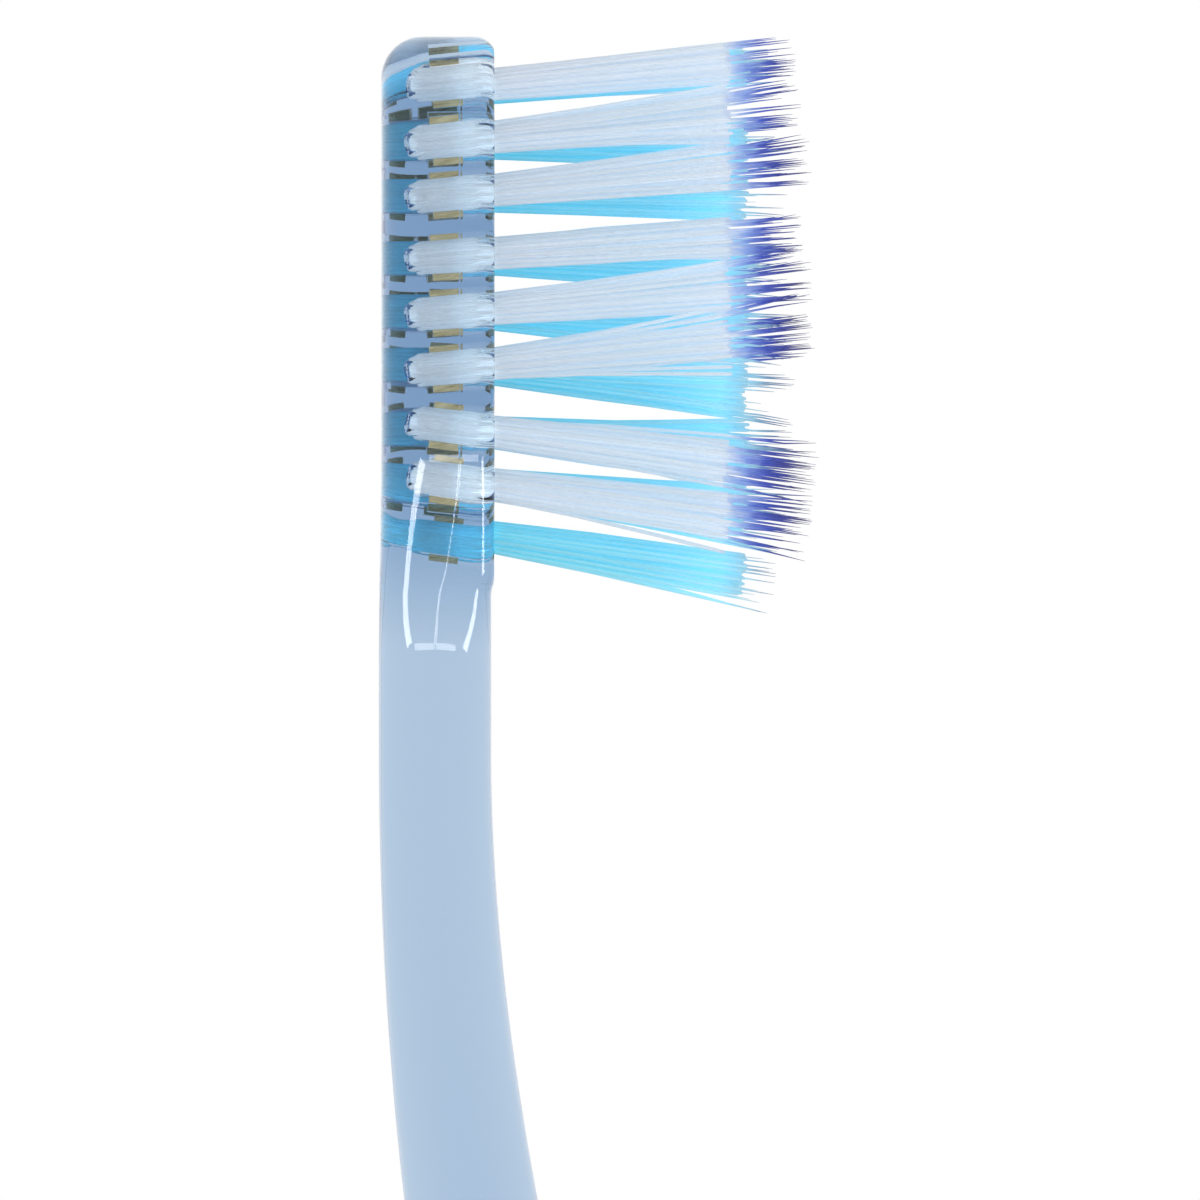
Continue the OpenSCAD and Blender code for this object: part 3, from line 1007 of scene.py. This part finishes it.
    def fold(self, near: np.ndarray, far: np.ndarray) -> np.ndarray:
        """The turn of each loop under the anchor: half an ellipse, deeper for the outer loops.

        Towards the anchor's ends the hole's floor rises, so there is less room there.

        Args:
            near: Where one end of each loop passes the anchor's lower edge.
            far: Where the other end does.

        Returns:
            Points by loop and turn.
        """
        turn = np.radians(self.fold_turns)
        half = (near[:, 1] - far[:, 1]) / 2
        middle = (near + far) / 2
        deepest = self.bore.depth - self.anchor_bottom - self.floor_gap
        least, end, slope = self.end_room
        room = least + np.maximum(end - np.abs(middle[:, 0]), 0.0) * slope
        share = np.clip((half - self.fold_halves[0]) / self.fold_halves[1], 0.0, 1.0)
        depth = np.minimum(self.fold_least + share * (deepest - self.fold_least), room)
        share = (1 - np.cos(turn)) / 2
        x = near[:, :1] + (far[:, :1] - near[:, :1]) * share
        y = middle[:, 1:] + half[:, None] * np.cos(turn)
        z = -self.anchor_bottom - depth[:, None] * np.sin(turn)
        reach = self.bore.radius(z) - self.filament_radius + self.pressed
        scale = np.minimum(1.0, reach / np.maximum(np.hypot(x, y), 1e-6))
        return np.stack([x * scale, y * scale, z], axis=-1)

    def tubes(self, path: np.ndarray, radius: np.ndarray) -> np.ndarray:
        """Rings round each path: a regular polygon at right angles to the path at each point.

        Args:
            path: Points by filament and ring.
            radius: Radii by filament and ring.

        Returns:
            Points by filament, ring and side.
        """
        ahead = np.gradient(path, axis=1)
        ahead /= np.linalg.norm(ahead, axis=-1, keepdims=True)
        side = np.cross(np.cross(ahead, [1.0, 0.0, 0.0]), ahead)
        side /= np.linalg.norm(side, axis=-1, keepdims=True)
        other = np.cross(ahead, side)
        turn = 2 * math.pi * np.arange(self.sides) / self.sides
        ring = side[:, :, None] * np.cos(turn)[:, None] + other[:, :, None] * np.sin(turn)[:, None]
        return path[:, :, None] + ring * radius[:, :, None, None]

    def build(
        self, place: TuftPlace, tip: float, seed: int, finish: bpy.types.Material
    ) -> bpy.types.Object:
        """Builds one tuft as one mesh, and dresses it.

        Args:
            place: The tuft's hole.
            tip: Height of its longest tips over the mouth.
            seed: Number that fixes the small differences between filaments.
            finish: The filaments' material.

        Returns:
            The tuft's object, with each point's height and each filament's tint.
        """
        rng = np.random.default_rng(seed)
        near, far = self.feet()
        near_long = rng.random(self.loops) < self.long_share
        far_long = rng.random(self.loops) < self.long_share
        legs = []
        for foot, long in ((near, near_long), (far, far_long)):
            tall = tip - self.tip_spread * rng.random(self.loops) ** self.tip_power
            cut = self.short + rng.normal(0.0, self.cut_stray, self.loops)
            legs.append(self.leg(foot, np.where(long, tall, cut), long, rng))
        bend = self.fold(legs[0][0][:, -1, :2], legs[1][0][:, -1, :2])
        path = np.concatenate([legs[0][0], bend, legs[1][0][:, ::-1]], axis=1)
        full = np.full(bend.shape[:2], self.packed * self.filament_radius)
        radius = np.concatenate([legs[0][1], full, legs[1][1][:, ::-1]], axis=1)
        tubes = self.tubes(path, radius)
        loops, rings, sides = tubes.shape[:3]
        faces = quads(rings, sides, wrap=True)
        each = rings * sides
        starts = np.arange(loops) * each
        walls = (faces[None] + starts[:, None, None]).reshape(-1, 4).tolist()
        first, last = np.arange(sides), np.arange(each - sides, each)[::-1]
        caps = np.concatenate([starts[:, None] + first, starts[:, None] + last]).tolist()
        name = f"filaments_{place.label}"
        mesh = bpy.data.meshes.new(name)
        points = place.point(tubes.reshape(-1, 3)) * MM
        mesh.from_pydata(points.tolist(), [], walls + caps)
        work = bmesh.new()
        work.from_mesh(mesh)
        bmesh.ops.recalc_face_normals(work, faces=work.faces)
        work.to_mesh(mesh)
        work.free()
        mesh.shade_smooth()
        heights = mesh.attributes.new("height", "FLOAT", "POINT")
        heights.data.foreach_set("value", np.repeat(path[..., 2], sides).astype(np.float32))
        tint = np.repeat(rng.random(loops), each)
        tints = mesh.attributes.new("tint", "FLOAT", "POINT")
        tints.data.foreach_set("value", tint.astype(np.float32))
        mesh.materials.append(finish)
        piece = bpy.data.objects.new(name, mesh)
        bpy.context.scene.collection.objects.link(piece)
        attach(piece, BODY)
        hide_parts(f"tuft_{place.label}")
        return piece


class Nodes:
    """A material's or a world's node tree, with short ways to add and join nodes."""

    def __init__(self, owner: bpy.types.Material | bpy.types.World) -> None:
        """Starts from an empty tree.

        Args:
            owner: Material or world whose nodes are made.
        """
        owner.use_nodes = True
        self.tree = owner.node_tree
        self.tree.nodes.clear()

    def add(self, kind: str, **settings: object) -> bpy.types.Node:
        """Adds a node. A setting is a property of the node, or a socket's value by its name.

        Args:
            kind: Node type.
            settings: Names with underscores for spaces, and values or sockets to link.

        Returns:
            The node.
        """
        node = self.tree.nodes.new(kind)
        for name, value in settings.items():
            if hasattr(node, name):
                setattr(node, name, value)
                continue
            socket = node.inputs[name.replace("_", " ")]
            if isinstance(value, bpy.types.NodeSocket):
                self.tree.links.new(value, socket)
            else:
                socket.default_value = value
        return node

    def link(self, source: bpy.types.NodeSocket, node: bpy.types.Node, socket: int | str) -> None:
        """Joins an output to a node's input."""
        self.tree.links.new(source, node.inputs[socket])

    def ramp(
        self, factor: bpy.types.NodeSocket, stops: list[tuple[float, Rgba]]
    ) -> bpy.types.NodeSocket:
        """Colour that runs through stops as the factor goes from 0 to 1.

        Args:
            factor: Value that picks the colour.
            stops: Place and colour of each stop, in order.

        Returns:
            The colour's output.
        """
        node = self.add("ShaderNodeValToRGB")
        elements = node.color_ramp.elements
        elements[0].position, elements[0].color = stops[0]
        elements[1].position, elements[1].color = stops[-1]
        for position, colour in stops[1:-1]:
            elements.new(position).color = colour
        self.link(factor, node, "Fac")
        return node.outputs["Color"]

    def spread(
        self, value: bpy.types.NodeSocket, low: float, high: float, to_low: float, to_high: float
    ) -> bpy.types.NodeSocket:
        """Value moved from one range to another, in step.

        Args:
            value: Value to move.
            low: Start of its range.
            high: End of its range.
            to_low: What the start becomes.
            to_high: What the end becomes.

        Returns:
            The moved value's output.
        """
        node = self.add("ShaderNodeMapRange", Value=value)
        node.inputs["From Min"].default_value = low
        node.inputs["From Max"].default_value = high
        node.inputs["To Min"].default_value = to_low
        node.inputs["To Max"].default_value = to_high
        return node.outputs["Result"]

    def noise(self, grain: Grain, detail: float) -> bpy.types.NodeSocket:
        """Noise in the object's own coordinates.

        Args:
            grain: Grains per metre along each axis.
            detail: Number of finer layers.

        Returns:
            The noise's output.
        """
        place = self.add("ShaderNodeTexCoord").outputs["Object"]
        turned = self.add("ShaderNodeMapping", Vector=place)
        turned.inputs["Scale"].default_value = grain
        node = self.add("ShaderNodeTexNoise", Vector=turned.outputs["Vector"])
        node.inputs["Scale"].default_value = 1.0
        node.inputs["Detail"].default_value = detail
        return node.outputs["Fac"]

    def either(
        self, first: bpy.types.NodeSocket, second: bpy.types.NodeSocket
    ) -> bpy.types.NodeSocket:
        """The greater of two values, which is 1 where either of two questions is."""
        node = self.add("ShaderNodeMath", operation="MAXIMUM")
        self.link(first, node, 0)
        self.link(second, node, 1)
        return node.outputs[0]

    def rough(self, noise: bpy.types.NodeSocket, low: float, high: float) -> bpy.types.NodeSocket:
        """Roughness that follows the usual range of a noise."""
        return self.spread(noise, NOISE_LOW, NOISE_HIGH, low, high)

    def bump(
        self, height: bpy.types.NodeSocket, strength: float, distance: float
    ) -> bpy.types.NodeSocket:
        """Normal over a bumpy surface, with the bumps' height in metres."""
        node = self.add("ShaderNodeBump", Height=height, Strength=strength, Distance=distance)
        return node.outputs["Normal"]

    def mixed(
        self, factor: bpy.types.NodeSocket | float, first: bpy.types.Node, second: bpy.types.Node
    ) -> bpy.types.Node:
        """Two shaders mixed, the second by the factor.

        Args:
            factor: Share of the second shader.
            first: Node of the first shader.
            second: Node of the second shader.

        Returns:
            The mix's node.
        """
        node = self.add("ShaderNodeMixShader", Fac=factor)
        self.link(first.outputs[0], node, 1)
        self.link(second.outputs[0], node, 2)
        return node

    def finish(self, kind: str, surface: bpy.types.Node) -> bpy.types.Node:
        """Joins a shader to the tree's output, and returns the output's node."""
        out = self.add(kind)
        self.link(surface.outputs[0], out, "Surface")
        return out


@dataclass(frozen=True)
class ClearPlastic:
    """Pale blue clear moulding: its colour is how deep the light goes through it."""

    name: str = "clear_blue_plastic"
    tint: Rgba = (0.01, 0.34, 0.64, 1.0)
    density: float = 216.0
    ior: float = 1.5
    roughness: float = 0.02
    scuffed: float = 2.2
    scuff_grain: Grain = (900.0, 900.0, 900.0)
    wave_grain: Grain = (160.0, 420.0, 420.0)
    wave_height: float = 0.000009
    shadow: Rgba = (0.995, 0.998, 1.0, 1.0)

    def make(self) -> bpy.types.Material:
        """Glass with absorption. Light on its way to a lamp or the sky passes straight through.

        Returns:
            The material.
        """
        material = bpy.data.materials.new(self.name)
        nodes = Nodes(material)
        waves = nodes.noise(self.wave_grain, 3.0)
        scuffs = nodes.noise(self.scuff_grain, 4.0)
        glass = nodes.add(
            "ShaderNodeBsdfPrincipled",
            Base_Color=WHITE,
            Roughness=nodes.rough(scuffs, self.roughness, self.roughness * self.scuffed),
            IOR=self.ior,
            Transmission_Weight=1.0,
            Normal=nodes.bump(waves, 1.0, self.wave_height),
        )
        through = nodes.add("ShaderNodeBsdfTransparent", Color=self.shadow)
        path = nodes.add("ShaderNodeLightPath")
        skin = nodes.mixed(path.outputs["Is Shadow Ray"], glass, through)
        volume = nodes.add("ShaderNodeVolumeAbsorption", Color=self.tint, Density=self.density)
        out = nodes.finish("ShaderNodeOutputMaterial", skin)
        nodes.link(volume.outputs[0], out, "Volume")
        return material


@dataclass(frozen=True)
class FilamentFinish:
    """Nylon filament: a body colour, roots painted lighter in the hole as painted light, and tips
    dyed in steps towards the end.
    """

    name: str
    stops: tuple[tuple[float, Colour], ...]
    lowest: float = -1.0
    tallest: float = 14.0
    blotch: float = 1.2
    blotch_grain: Grain = (1500.0, 1500.0, 1500.0)
    line_grain: Grain = (2500.0, 9000.0, 1200.0)
    line_height: float = 0.00001
    line_strength: float = 0.5
    roughness: tuple[float, float] = (0.28, 0.44)
    ior: float = 1.53
    through: float = 0.5
    passed: Rgba = (0.975, 0.98, 0.985, 1.0)
    root: tuple[float, float] = (-0.6, 0.2)
    tint: tuple[float, float] = (0.965, 1.02)

    def colour(self, nodes: Nodes, height: bpy.types.NodeSocket) -> bpy.types.NodeSocket:
        """Colour by height over the face, a little blotched, with a tint of each filament's own.
        The stops in the hole are painted lighter: painted light for the light the filaments carry
        down into the head.

        Args:
            nodes: The material's nodes.
            height: Height over the face, in millimetres.

        Returns:
            The colour's output.
        """
        uneven = nodes.add("ShaderNodeMath", operation="MULTIPLY_ADD")
        nodes.link(nodes.noise(self.blotch_grain, 2.0), uneven, 0)
        uneven.inputs[1].default_value = self.blotch
        nodes.link(height, uneven, 2)
        low, high = self.lowest + self.blotch / 2, self.tallest + self.blotch / 2
        factor = nodes.spread(uneven.outputs[0], low, high, 0.0, 1.0)
        span = self.tallest - self.lowest
        stops = [((z - self.lowest) / span, srgb(colour)) for z, colour in self.stops]
        tint = nodes.add("ShaderNodeAttribute", attribute_name="tint").outputs["Fac"]
        shade = nodes.add("ShaderNodeVectorMath", operation="SCALE")
        nodes.link(nodes.ramp(factor, stops), shade, 0)
        nodes.link(nodes.spread(tint, 0.0, 1.0, *self.tint), shade, "Scale")
        return shade.outputs[0]

    def make(self) -> bpy.types.Material:
        """A body half plastic and half glowing through, which lets part of the lamps' light by.

        Returns:
            The material.
        """
        material = bpy.data.materials.new(self.name)
        nodes = Nodes(material)
        height = nodes.add("ShaderNodeAttribute", attribute_name="height").outputs["Fac"]
        shade = self.colour(nodes, height)
        lines = nodes.noise(self.line_grain, 2.0)
        body = nodes.add(
            "ShaderNodeBsdfPrincipled",
            Base_Color=shade,
            Roughness=nodes.rough(lines, *self.roughness),
            IOR=self.ior,
            Normal=nodes.bump(lines, self.line_strength, self.line_height),
        )
        glow = nodes.add("ShaderNodeBsdfTranslucent", Color=shade)
        rooted = nodes.spread(height, *self.root, 0.0, 1.0)
        let = nodes.ramp(rooted, [(0.0, WHITE), (1.0, self.passed)])
        clear = nodes.add("ShaderNodeBsdfTransparent", Color=let)
        path = nodes.add("ShaderNodeLightPath")
        solid = nodes.mixed(self.through, body, glow)
        lit = nodes.mixed(path.outputs["Is Shadow Ray"], solid, clear)
        nodes.finish("ShaderNodeOutputMaterial", lit)
        return material


@dataclass(frozen=True)
class BrassFinish:
    """Rolled and sheared brass: warm, a little dull, with fine drawn lines."""

    name: str = "anchor_brass"
    light: Colour = (216, 196, 146)
    dark: Colour = (168, 146, 92)
    roughness: tuple[float, float] = (0.24, 0.42)
    line_grain: Grain = (9000.0, 900.0, 1400.0)
    line_height: float = 0.00001
    line_strength: float = 0.6

    def make(self) -> bpy.types.Material:
        """Metal whose colour and roughness vary along fine lines.

        Returns:
            The material.
        """
        material = bpy.data.materials.new(self.name)
        nodes = Nodes(material)
        lines = nodes.noise(self.line_grain, 4.0)
        stops = [(NOISE_LOW, srgb(self.dark)), (NOISE_HIGH, srgb(self.light))]
        metal = nodes.add(
            "ShaderNodeBsdfPrincipled",
            Base_Color=nodes.ramp(lines, stops),
            Metallic=1.0,
            Roughness=nodes.rough(lines, *self.roughness),
            Normal=nodes.bump(lines, self.line_strength, self.line_height),
        )
        nodes.finish("ShaderNodeOutputMaterial", metal)
        return material


WHITE_TUFT = FilamentFinish(
    "white_filament",
    (
        # The stop at -0.6, in the hole, is painted lighter than the body: painted light for the
        # light the filaments carry down into the head.
        (-0.6, (250, 252, 253)),
        (0.2, (232, 236, 241)),
        (9.3, (232, 237, 242)),
        (10.1, (180, 200, 236)),
        (10.9, (104, 124, 210)),
        (11.6, (88, 98, 182)),
        (12.4, (112, 110, 156)),
        (13.6, (170, 168, 190)),
    ),
)
CYAN_TUFT = FilamentFinish(
    "cyan_filament",
    (
        # The stop at -0.6, in the hole, is painted lighter in green and blue than the body: painted
        # light for the light the filaments carry down into the head.
        (-0.6, (164, 248, 255)),
        (0.2, (178, 234, 242)),
        (6.0, (188, 235, 243)),
        (9.2, (204, 241, 249)),
        (10.4, (196, 226, 236)),
        (11.4, (140, 164, 196)),
        (12.4, (120, 126, 154)),
    ),
    passed=(0.93, 0.985, 0.99, 1.0),
)


class Lamp(Enum):
    """What a lamp does: light the pieces softly, or shine back from the smooth ones."""

    LIGHT = "light"
    SHINE = "shine"


@dataclass(frozen=True)
class Softbox:
    """A softbox that faces the head, with its place given by angles from the camera's side.

    The angles, in degrees, are towards the tail, towards the bristles, and, as its slant, of its
    length away from the brush's. Its length and width and its distance are in metres.
    """

    name: str
    tailward: float
    out: float
    size: tuple[float, float]
    glow: float
    kind: Lamp = Lamp.LIGHT
    slant: float = 0.0
    aim: float = 20.0
    distance: float = 0.6

    def build(self, spine: Spine) -> None:
        """Adds the lamp, turned to the head, with its length along the brush but for the slant.

        Args:
            spine: The brush's spine, for its directions.
        """
        back, side, lean = (math.radians(v) for v in (self.tailward, self.out, self.slant))
        toward = (
            math.cos(side) * math.cos(back) * np.array([0.0, 1.0, 0.0])
            - math.cos(side) * math.sin(back) * spine.toeward
            + math.sin(side) * spine.outward
        )
        along = spine.toeward - toward * float(spine.toeward @ toward)
        along /= np.linalg.norm(along)
        along = math.cos(lean) * along + math.sin(lean) * np.cross(toward, along)
        turn = Matrix(np.stack([along, np.cross(toward, along), toward], axis=1).tolist())
        place = spine.point(self.aim, 0.0, 0.0) * MM + self.distance * toward
        data = bpy.data.lights.new(self.name, "AREA")
        data.shape = "RECTANGLE"
        data.size, data.size_y = self.size
        data.energy = self.glow * math.pi * self.size[0] * self.size[1]
        lamp = bpy.data.objects.new(self.name, data)
        lamp.matrix_world = Matrix.LocRotScale(Vector(place), turn.to_quaternion(), None)
        lamp.visible_camera = lamp.visible_transmission = False
        lamp.visible_diffuse = self.kind is Lamp.LIGHT
        lamp.visible_glossy = self.kind is Lamp.SHINE
        bpy.context.scene.collection.objects.link(lamp)


@dataclass(frozen=True)
class Studio:
    """Pale floor, white surroundings, soft lamps, and the camera at the head's side."""

    spine: Spine
    distance: float = 750.0
    field: float = 48.0
    centre_along: float = -22.54
    centre_out: float = 6.51
    floor_height: float = -0.02
    floor_radii: tuple[float, ...] = (0.0, 0.05, 0.2, 0.55)
    floor_corners: int = 96
    floor_grain: Grain = (60.0, 60.0, 60.0)
    floor_colours: tuple[Colour, Colour] = ((246, 246, 246), (248, 248, 248))
    ambient: float = 0.4
    level: float = 1.75
    shine: float = 11.0

    def target(self) -> np.ndarray:
        """Point in the middle of the picture, so far along and out from the toe's middle."""
        toe = self.spine.point(0.0, 0.0, 0.0)
        return toe + self.centre_along * self.spine.toeward + self.centre_out * self.spine.outward

    def camera(self) -> None:
        """Looks across the head from the side, level with the floor, so the floor is edge-on."""
        target = self.target()
        drop = (target[2] - self.floor_height) / self.spine.outward[2]
        eye = target + np.array([0.0, self.distance, 0.0]) - drop * self.spine.outward
        ahead = (target - eye) / np.linalg.norm(target - eye)
        up = self.spine.toeward - ahead * float(self.spine.toeward @ ahead)
        up /= np.linalg.norm(up)
        right = np.cross(ahead, up)
        data = bpy.data.cameras.new("camera")
        data.sensor_width = 36.0
        data.lens = 36.0 * float(np.linalg.norm(target - eye)) / self.field
        data.clip_start, data.clip_end = 0.01, 20.0
        camera = bpy.data.objects.new("camera", data)
        turn = Matrix(np.stack([right, up, -ahead], axis=1).tolist())
        camera.matrix_world = Matrix.LocRotScale(Vector(eye * MM), turn.to_quaternion(), None)
        bpy.context.scene.collection.objects.link(camera)
        bpy.context.scene.camera = camera

    def floor(self) -> None:
        """A round pale floor, which clear and metal pieces look past, to the white around."""
        turn = np.linspace(0, 2 * math.pi, self.floor_corners + 1)[:-1]
        radii = np.array(self.floor_radii)[:, None]
        shape = (len(self.floor_radii), self.floor_corners)
        height = np.full(shape, self.floor_height * MM)
        points = np.stack([radii * np.cos(turn), radii * np.sin(turn), height], axis=-1)
        mesh = bpy.data.meshes.new("floor")
        mesh.from_pydata(points.reshape(-1, 3).tolist(), [], quads(*shape, wrap=True).tolist())
        work = bmesh.new()
        work.from_mesh(mesh)
        bmesh.ops.remove_doubles(work, verts=work.verts, dist=MERGE_GAP)
        work.to_mesh(mesh)
        work.free()
        floor = bpy.data.objects.new("floor", mesh)
        bpy.context.scene.collection.objects.link(floor)
        material = bpy.data.materials.new("pale_floor")
        nodes = Nodes(material)
        low, high = (srgb(colour) for colour in self.floor_colours)
        stops = [(NOISE_LOW, low), (NOISE_HIGH, high)]
        colour = nodes.ramp(nodes.noise(self.floor_grain, 3.0), stops)
        paper = nodes.add("ShaderNodeBsdfDiffuse", Color=colour)
        clear = nodes.add("ShaderNodeBsdfTransparent")
        path = nodes.add("ShaderNodeLightPath").outputs
        passed = nodes.either(path["Is Glossy Ray"], path["Is Transmission Ray"])
        nodes.finish("ShaderNodeOutputMaterial", nodes.mixed(passed, paper, clear))
        mesh.materials.append(material)

    def world(self) -> None:
        """White where it is seen, reflected or looked through at, and softer as light."""
        world = bpy.data.worlds.new("studio")
        bpy.context.scene.world = world
        nodes = Nodes(world)
        path = nodes.add("ShaderNodeLightPath").outputs
        seen = nodes.either(path["Is Camera Ray"], path["Is Glossy Ray"])
        seen = nodes.either(seen, path["Is Transmission Ray"])
        level = nodes.spread(seen, 0.0, 1.0, self.ambient, 1.0)
        glow = nodes.add("ShaderNodeBackground", Color=WHITE, Strength=level)
        nodes.finish("ShaderNodeOutputWorld", glow)

    def softboxes(self) -> list[Softbox]:
        """Five lamps that light the pieces, and three strips that shine back from the plastic."""
        square, strip = (0.4, 0.4), (0.38, 0.11)
        return [
            Softbox("front_tail", 40.0, 20.0, square, self.level),
            Softbox("front_toe", -40.0, 20.0, square, self.level * 0.8),
            Softbox("over", 0.0, 80.0, (0.5, 0.4), self.level),
            Softbox("far_tail", 140.0, 25.0, square, self.level * 0.8),
            Softbox("far_toe", -140.0, 25.0, square, self.level * 0.6),
            Softbox("strip_right", 27.0, 30.0, strip, self.shine, Lamp.SHINE, 30.0),
            Softbox("strip_left", 27.0, -24.0, strip, self.shine, Lamp.SHINE, -30.0),
            Softbox("strip_across", 8.0, 0.0, (0.05, 0.2), self.shine / 2, Lamp.SHINE),
        ]

    def build(self) -> None:
        """Sets the camera, the floor, the surroundings, the lamps and how far light is followed."""
        self.camera()
        self.floor()
        self.world()
        for softbox in self.softboxes():
            softbox.build(self.spine)
        bpy.context.scene.view_settings.view_transform = "Standard"
        cycles = bpy.context.scene.cycles
        cycles.max_bounces = 24
        cycles.diffuse_bounces = 16
        cycles.transmission_bounces = 24
        cycles.glossy_bounces = 12
        cycles.transparent_max_bounces = 32


class Anchor:
    """A brass anchor, which keeps the frame's own mesh."""

    @staticmethod
    def dress(place: TuftPlace, brass: bpy.types.Material) -> None:
        """Gives the anchor under a tuft its finish.

        Args:
            place: The tuft's hole.
            brass: The anchor's material.
        """
        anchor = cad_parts[f"anchor_{place.label}"]
        anchor.data.materials.clear()
        anchor.data.materials.append(brass)


@dataclass(frozen=True)
class Brush:
    """The whole brush: handle, tufts and anchors, built and dressed in order."""

    spine: Spine = field(default_factory=Spine)
    first_seed: int = 100
    outer: Tuft = Tuft()
    outer_tips: tuple[float, ...] = (12.1, 12.3, 12.7, 12.3, 12.9, 12.8, 13.0, 12.8)
    outer_lifts: tuple[float, ...] = (0.0, 0.5, 0.3, 0.0, 0.4, 0.15, 0.0, 0.1)
    inner: Tuft = Tuft(INNER_BORE, short=10.1, tip_spread=1.4, fan=0.42)
    inner_toe: Tuft = Tuft(INNER_BORE, short=10.1, tip_spread=1.4, fan=0.22, pressed=-0.06)
    inner_tips: tuple[float, ...] = (11.4, 11.5, 11.8, 11.6, 12.0, 12.1, 12.0, 11.8, 11.4)
    inner_flares: tuple[float, ...] = (0.0, 0.2, 0.2, 0.75, 0.75, 0.8, 0.2, 0.25, 0.3)

    def tuft(self, place: TuftPlace) -> tuple[Tuft, float]:
        """Sizes of the tuft in a place. The first of each row has strays towards the heel only.

        Args:
            place: The tuft's hole.

        Returns:
            The sizes, and the height of the tuft's longest tips.
        """
        column, toe = place.column - 1, place.column == 1
        if place.row is Row.MIDDLE:
            sizes = replace(self.inner_toe if toe else self.inner, flare=self.inner_flares[column])
            tip = self.inner_tips[column]
        else:
            sizes = replace(self.outer, lift=self.outer_lifts[column])
            tip = self.outer_tips[column]
        return replace(sizes, strays_both=not toe), tip

    def build(self) -> None:
        """Builds and dresses each piece, and reports it."""
        places = TuftLayout(self.spine).places()
        Handle(self.spine, places).build()
        LOG.info("handle built with %d holes", len(places))
        white, cyan, brass = WHITE_TUFT.make(), CYAN_TUFT.make(), BrassFinish().make()
        for number, place in enumerate(places):
            inner = place.row is Row.MIDDLE
            tuft, tip = self.tuft(place)
            piece = tuft.build(place, tip, self.first_seed + number, cyan if inner else white)
            Anchor.dress(place, brass)
            LOG.info("%s built over its anchor", piece.name)


def main() -> None:
    """Builds the brush and the studio."""
    logging.basicConfig(level=logging.INFO, format="%(name)s: %(message)s")
    brush = Brush()
    brush.build()
    Studio(brush.spine).build()
    bpy.context.view_layer.update()


if __name__ == "__main__":
    main()
